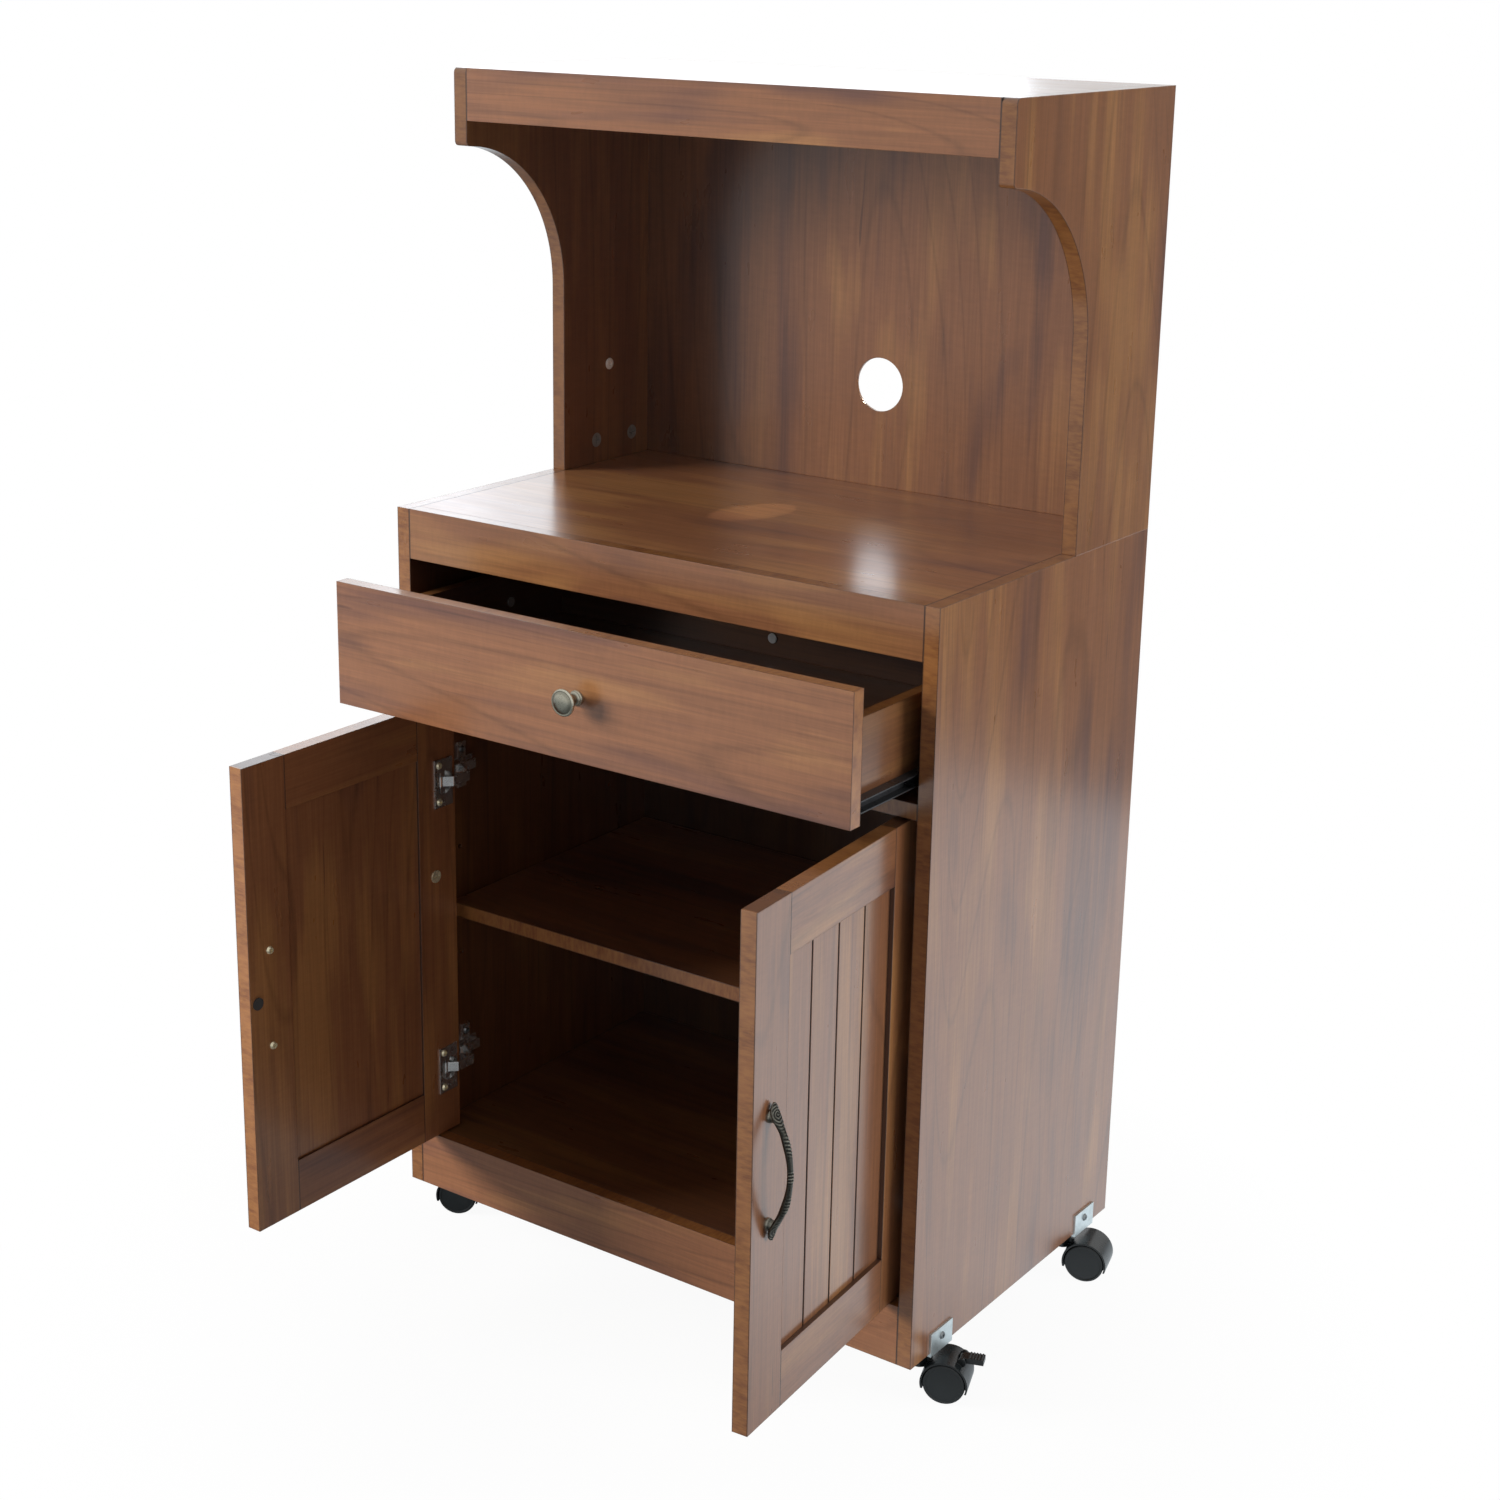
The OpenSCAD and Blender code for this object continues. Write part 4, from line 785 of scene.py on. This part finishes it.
class CART_OT_knob(bpy.types.Operator):
    """Turn the drawer's knob."""

    bl_idname = "cart.knob"
    bl_label = "Knob"

    def execute(self, context):
        radius = context.scene.cart_sizes.knob_radius
        foot = Vector((middle("drawer_knob").x, high("drawer_knob").y, middle("drawer_knob").z))
        knob = turned("drawer_knob_turned", [
            (0.0072, 0.0), (0.0072, 0.0014), (0.0066, 0.0022), (0.0058, 0.0026), (0.0062, 0.0032),
            (0.0058, 0.0039), (0.0046, 0.0046), (0.0043, 0.0062), (0.0043, 0.0096), (0.0047, 0.0112),
            (0.0056, 0.0126), (0.0082, 0.0146), (radius - 0.001, 0.0165), (radius, 0.0180), (radius, 0.0188),
            (radius - 0.0004, 0.0198), (radius - 0.0014, 0.0204), (radius - 0.0022, 0.0202),
            (radius - 0.0028, 0.0205), (0.0078, 0.0222), (0.0050, 0.0232), (0.0022, 0.0238),
            (0.0004, 0.0239)], KNOB_SIDES)
        put(knob, foot, (0, -1, 0))
        smooth(knob, 40)
        dress(knob, antique("Rubbed pewter", (0.26, 0.25, 0.20), 2.0))
        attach(knob, "drawer")
        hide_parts("drawer_knob")
        return {"FINISHED"}


# The hutch's screw cap: how far back and how high it sits, and its sides.
CAP_BACK, CAP_HEIGHT, CAP_SIDES = 0.2469, 0.872, 40


class CART_OT_caps(bpy.types.Operator):
    """Model the small cap that covers a screw head in the hutch."""

    bl_idname = "cart.caps"
    bl_label = "Screw cap"

    def execute(self, context):
        radius = context.scene.cart_sizes.cap_radius
        white = moulded("White cap", (0.86, 0.86, 0.84), 0.35, 0.00002, 0.0003)
        inner = high("hutch_side_left").x
        cap = turned("hutch_screw_cap", [
            (radius, 0.0), (radius, 0.0007), (radius * 0.93, 0.0012), (radius * 0.7, 0.0015),
            (radius * 0.42, 0.0016), (radius * 0.36, 0.0010), (0.0004, 0.0009)], CAP_SIDES)
        put(cap, Vector((inner, CAP_BACK, CAP_HEIGHT)), (1, 0, 0))
        smooth(cap, 40)
        dress(cap, white)
        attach(cap, "cabinet")
        return {"FINISHED"}


# A wheel from its inner to its outer face, its axle, and half the gap between a pair.
WHEEL_OUTLINE = [
    (0.0060, 0.0), (0.0185, 0.0), (0.0195, 0.0004), (0.0200, 0.0013), (0.0200, 0.0124),
    (0.0198, 0.0134), (0.0193, 0.0141), (0.0185, 0.0145), (0.0176, 0.0145), (0.0172, 0.0142),
    (0.0170, 0.0138), (0.0165, 0.0137), (0.0159, 0.0138), (0.0100, 0.0139), (0.0004, 0.0140)]
AXLE_OUTLINE = [(0.0025, -0.0045), (0.0025, 0.0045)]
WHEEL_GAP = 0.0035


class CART_OT_casters(bpy.types.Operator):
    """Model the casters' wheels and finish their hoods."""

    bl_idname = "cart.casters"
    bl_label = "Casters"

    def execute(self, context):
        finish = context.scene.cart_finish
        sides = context.scene.cart_sizes.wheel_sides
        hood = moulded("Caster hood plastic", tuple(finish.caster), 0.27, 0.00003)
        tread = moulded("Caster wheel plastic", tuple(finish.caster), 0.5, 0.00004)
        wheel = turned("wheel", WHEEL_OUTLINE, sides)
        rod = turned("axle", AXLE_OUTLINE, ROD_SIDES)
        for piece in (wheel, rod):
            smooth(piece, 30)
            dress(piece, tread)
        for name in ("front_left", "front_right", "rear_left", "rear_right"):
            dress(frame["nodes"]["hood_" + name], hood)
            joint = JOINTS[name + "_axle"]
            centre, axle = Vector(joint["pos_m"]), Vector(joint["axis"])
            pieces = []
            for way in (-1, 1):
                twin = copied(wheel, f"wheel_{name}_{'a' if way < 0 else 'b'}")
                put(twin, centre + axle * way * WHEEL_GAP, axle * way)
                pieces.append(twin)
            pin = copied(rod, "axle_" + name)
            put(pin, centre, axle)
            pair = join("wheel_pair_" + name, [*pieces, pin])
            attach(pair, "wheelset_" + name)
            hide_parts("wheels_" + name)
        remove(wheel)
        remove(rod)
        for side in ("left", "right"):
            dress(frame["nodes"]["brake_lever_" + side], hood)
        return {"FINISHED"}


# ---------------------------------------------------------------- stage


FLOOR_RADIUS = 60
FLOOR_PALE, FLOOR_CAMERA_LIFT = (0.55, 0.57), 0.35
# How much of the white shows under the cart, where its shadow falls, and from where to where it fades.
SHADOW_WHITE, SHADOW_START, SHADOW_END = 0.94, 0.3, 0.7
# The floor's glow in gloss is painted light: it rises along this way, from a dim middle in front of the cart
# that is painted shadow.
GLOW_WAY = (0.6, 0.8, 0)
GLOW_DIM, GLOW_NEAR = 0.22, 0.6
GLOW_COLOUR = (0.88, 0.95, 1.0)
CARD_PLACE, CARD_SIZE = (2.3, 1.6, 0.8), (3.2, 1.6, 1)
AIR_COLOUR = (0.97, 0.98, 1.0)
WHITE, COOL = (1, 1, 1), (0.90, 0.97, 1.06)
# Each lamp: its place, target, width, height, power setting, colour, and whether it shows in gloss.
LAMPS = {
    "front_lamp": ((-2.9, -2.3, 1.6), (0, -0.1, 0.7), 1.6, 1.4, "key_power", WHITE, False),
    "side_lamp": ((3.2, 1.3, 1.3), (0.2, 0, 0.5), 1.6, 1.6, "fill_power", WHITE, False),
    "rear_lamp": ((-1.6, 2.2, 1.8), (0, 0.1, 0.9), 1.3, 0.95, "rear_power", COOL, True),
    "left_lamp": ((-3.0, 2.2, 1.75), (0, 0, 0.7), 1.3, 1.0, "left_power", COOL, True),
}
# The hole lamp shines through the cord hole on to the counter.
HOLE_CENTRE, HOLE_PATCH = Vector((0.003, 0.314, 0.874)), Vector((-0.026, 0.137, 0.770))
HOLE_LAMP_AWAY = 1.6
HOLE_LAMP_CONE = math.radians(2.2)
HOLE_LAMP_COLOUR = (1.0, 0.86, 0.68)
# The camera, found from the straight edges of the case in the photograph.
EYE = Vector((1.3243, -1.79805, 1.3002))
AHEAD = Vector((-0.5562, 0.7826, -0.2795))
ROLL = math.radians(0.902)
SENSOR_WIDTH = 36
SHIFT_X, SHIFT_Y = 0.0135, -0.0551


def soft_lamp(name, place, target, width, height, power, colour, glossy):
    """A rectangular lamp that faces a target."""
    clear_selection()
    bpy.ops.object.light_add(type="AREA", location=place)
    lamp = bpy.context.active_object
    lamp.name = name
    lamp.data.shape = "RECTANGLE"
    lamp.data.size = width
    lamp.data.size_y = height
    lamp.data.energy = power
    lamp.data.color = colour
    lamp.rotation_euler = (Vector(target) - Vector(place)).to_track_quat("-Z", "Y").to_euler()
    lamp.visible_glossy = glossy


def white_share(nodes, links):
    """1 for rays that show the background: from the camera, by gloss or through glass."""
    path = nodes.new("ShaderNodeLightPath")
    share = path.outputs["Is Camera Ray"]
    for other in ("Is Glossy Ray", "Is Transmission Ray"):
        both = nodes.new("ShaderNodeMath")
        both.operation = "MAXIMUM"
        links.new(share, both.inputs[0])
        links.new(path.outputs[other], both.inputs[1])
        share = both.outputs[0]
    return share


class CART_OT_stage(bpy.types.Operator):
    """Set up the floor, the lamps and the camera."""

    bl_idname = "cart.stage"
    bl_label = "Stage"

    def floor(self):
        """A pale floor that keeps the cart's shadow and goes over into the white background."""
        clear_selection()
        bpy.ops.mesh.primitive_circle_add(
            vertices=96, radius=FLOOR_RADIUS, fill_type="NGON", location=(0, 0, 0))
        floor = bpy.context.active_object
        floor.name = "studio_floor"
        recipe = Recipe("Studio floor")
        nodes, links = recipe.nodes, recipe.links
        here = recipe.place.outputs["Object"]
        path = nodes.new("ShaderNodeLightPath")
        pale = recipe.spread(recipe.noise(here, 3, 2), 0.3, 0.7, *FLOOR_PALE)
        seen = path.outputs["Is Camera Ray"]
        paint = recipe.math("ADD", pale, recipe.math("MULTIPLY", seen, FLOOR_CAMERA_LIFT))
        links.new(recipe.scaled(WHITE, paint), recipe.surface.inputs["Base Color"])
        recipe.surface.inputs["Roughness"].default_value = 0.8
        split = nodes.new("ShaderNodeSeparateXYZ")
        links.new(here, split.inputs[0])
        # Painted light for gloss rays: dim in front of the cart, brighter behind it and to the right.
        way = recipe.dot(here, GLOW_WAY)
        lit = recipe.math("MAXIMUM", recipe.spread(way, -0.1, 0.4, GLOW_DIM, 1.0),
                          recipe.spread(way, -0.6, -1.5, GLOW_DIM, GLOW_NEAR))
        lit = recipe.math("MAXIMUM", lit, seen)
        glow = nodes.new("ShaderNodeEmission")
        links.new(recipe.mix(seen, GLOW_COLOUR, WHITE), glow.inputs["Color"])
        links.new(lit, glow.inputs["Strength"])
        reach = recipe.math("SQRT", recipe.math("ADD", recipe.math("POWER", split.outputs[0], 2.0),
                                                recipe.math("POWER", split.outputs[1], 2.0)))
        far = recipe.spread(reach, SHADOW_START, SHADOW_END, SHADOW_WHITE, 1.0)
        share = recipe.math("MULTIPLY", far, white_share(nodes, links))
        blend = nodes.new("ShaderNodeMixShader")
        links.new(share, blend.inputs[0])
        links.new(recipe.surface.outputs[0], blend.inputs[1])
        links.new(glow.outputs[0], blend.inputs[2])
        links.new(blend.outputs[0], recipe.output.inputs["Surface"])
        dress(floor, recipe.material)

    def card(self):
        """A dark card behind on the right, which shows in the gloss of the right side only."""
        clear_selection()
        bpy.ops.mesh.primitive_plane_add(size=1, location=CARD_PLACE)
        card = bpy.context.active_object
        card.name = "dark_card"
        card.rotation_euler = (math.pi / 2, 0, 0)
        card.scale = CARD_SIZE
        bpy.ops.object.transform_apply(location=True, rotation=True, scale=True)
        recipe = Recipe("Dark card")
        felt = recipe.noise(recipe.place.outputs["Object"], 40, 2)
        recipe.links.new(recipe.mix(felt, (0.10, 0.09, 0.08), (0.13, 0.12, 0.11)),
                         recipe.surface.inputs["Base Color"])
        recipe.surface.inputs["Roughness"].default_value = 0.9
        dress(card, recipe.material)
        card.visible_camera = False
        card.visible_diffuse = False
        card.visible_shadow = False
        card.visible_transmission = False

    def air(self, context):
        """Even light, and white where the background shows."""
        world = bpy.data.worlds.new("Studio air")
        context.scene.world = world
        world.use_nodes = True
        nodes, links = world.node_tree.nodes, world.node_tree.links
        nodes.clear()
        output = nodes.new("ShaderNodeOutputWorld")
        even = nodes.new("ShaderNodeBackground")
        even.inputs["Color"].default_value = (*AIR_COLOUR, 1)
        even.inputs["Strength"].default_value = context.scene.cart_studio.ambient
        white = nodes.new("ShaderNodeBackground")
        white.inputs["Color"].default_value = (*WHITE, 1)
        white.inputs["Strength"].default_value = 1.0
        blend = nodes.new("ShaderNodeMixShader")
        links.new(white_share(nodes, links), blend.inputs[0])
        links.new(even.outputs[0], blend.inputs[1])
        links.new(white.outputs[0], blend.inputs[2])
        links.new(blend.outputs[0], output.inputs["Surface"])

    def hole_lamp(self, studio):
        """A narrow lamp whose light falls through the cord hole."""
        back = (HOLE_CENTRE - HOLE_PATCH).normalized()
        clear_selection()
        bpy.ops.object.light_add(type="SPOT", location=HOLE_CENTRE + back * HOLE_LAMP_AWAY)
        lamp = bpy.context.active_object
        lamp.name = "hole_lamp"
        lamp.rotation_euler = (-back).to_track_quat("-Z", "Y").to_euler()
        lamp.data.energy = studio.hole_power
        lamp.data.spot_size = HOLE_LAMP_CONE
        lamp.data.spot_blend = 0.0
        lamp.data.shadow_soft_size = 0.02
        lamp.data.color = HOLE_LAMP_COLOUR

    def camera(self, context, studio):
        """The camera, at the photograph's angle."""
        clear_selection()
        ahead = AHEAD.normalized()
        level = ahead.cross(UP).normalized()
        rise = level.cross(ahead)
        right = level * math.cos(ROLL) + rise * math.sin(ROLL)
        top = rise * math.cos(ROLL) - level * math.sin(ROLL)
        bpy.ops.object.camera_add(location=EYE)
        camera = context.active_object
        camera.name = "photo_camera"
        camera.matrix_world = Matrix.Translation(EYE) @ Matrix((right, top, -ahead)).transposed().to_4x4()
        camera.data.lens = studio.focal_length
        camera.data.sensor_width = SENSOR_WIDTH
        camera.data.shift_x = SHIFT_X
        camera.data.shift_y = SHIFT_Y
        camera.data.clip_end = 200
        context.scene.camera = camera

    def execute(self, context):
        studio = context.scene.cart_studio
        self.floor()
        self.card()
        self.air(context)
        for name, (place, target, width, height, power, colour, glossy) in LAMPS.items():
            soft_lamp(name, place, target, width, height, getattr(studio, power), colour, glossy)
        self.hole_lamp(studio)
        self.camera(context, studio)
        context.scene.view_settings.view_transform = "Standard"
        return {"FINISHED"}


class CART_PT_panel(bpy.types.Panel):
    """Lists the cart's pieces in the sidebar."""

    bl_idname = "CART_PT_panel"
    bl_label = "Microwave cart"
    bl_space_type = "VIEW_3D"
    bl_region_type = "UI"
    bl_category = "Cart"

    def draw(self, context):
        layout = self.layout
        for group in (context.scene.cart_finish, context.scene.cart_sizes, context.scene.cart_studio):
            for name in group.__annotations__:
                layout.prop(group, name)
        for piece in PIECES:
            layout.operator(piece.bl_idname)


PIECES = (CART_OT_boards, CART_OT_doors, CART_OT_fittings, CART_OT_handles, CART_OT_knob, CART_OT_caps,
          CART_OT_casters, CART_OT_stage)
CLASSES = (CartFinish, CartSizes, StudioSettings, *PIECES, CART_PT_panel)


def register():
    """Registers the classes and hangs the settings on the scene."""
    for item in CLASSES:
        bpy.utils.register_class(item)
    bpy.types.Scene.cart_finish = bpy.props.PointerProperty(type=CartFinish)
    bpy.types.Scene.cart_sizes = bpy.props.PointerProperty(type=CartSizes)
    bpy.types.Scene.cart_studio = bpy.props.PointerProperty(type=StudioSettings)


def unregister():
    """Takes the settings and the classes away."""
    del bpy.types.Scene.cart_studio
    del bpy.types.Scene.cart_sizes
    del bpy.types.Scene.cart_finish
    for item in reversed(CLASSES):
        bpy.utils.unregister_class(item)


def main():
    """Makes the pieces and the stage."""
    register()
    bpy.ops.cart.boards()
    bpy.ops.cart.doors()
    bpy.ops.cart.fittings()
    bpy.ops.cart.handles()
    bpy.ops.cart.knob()
    bpy.ops.cart.caps()
    bpy.ops.cart.casters()
    bpy.ops.cart.stage()
    clear_selection()
    bpy.context.view_layer.update()


if __name__ == "__main__":
    main()
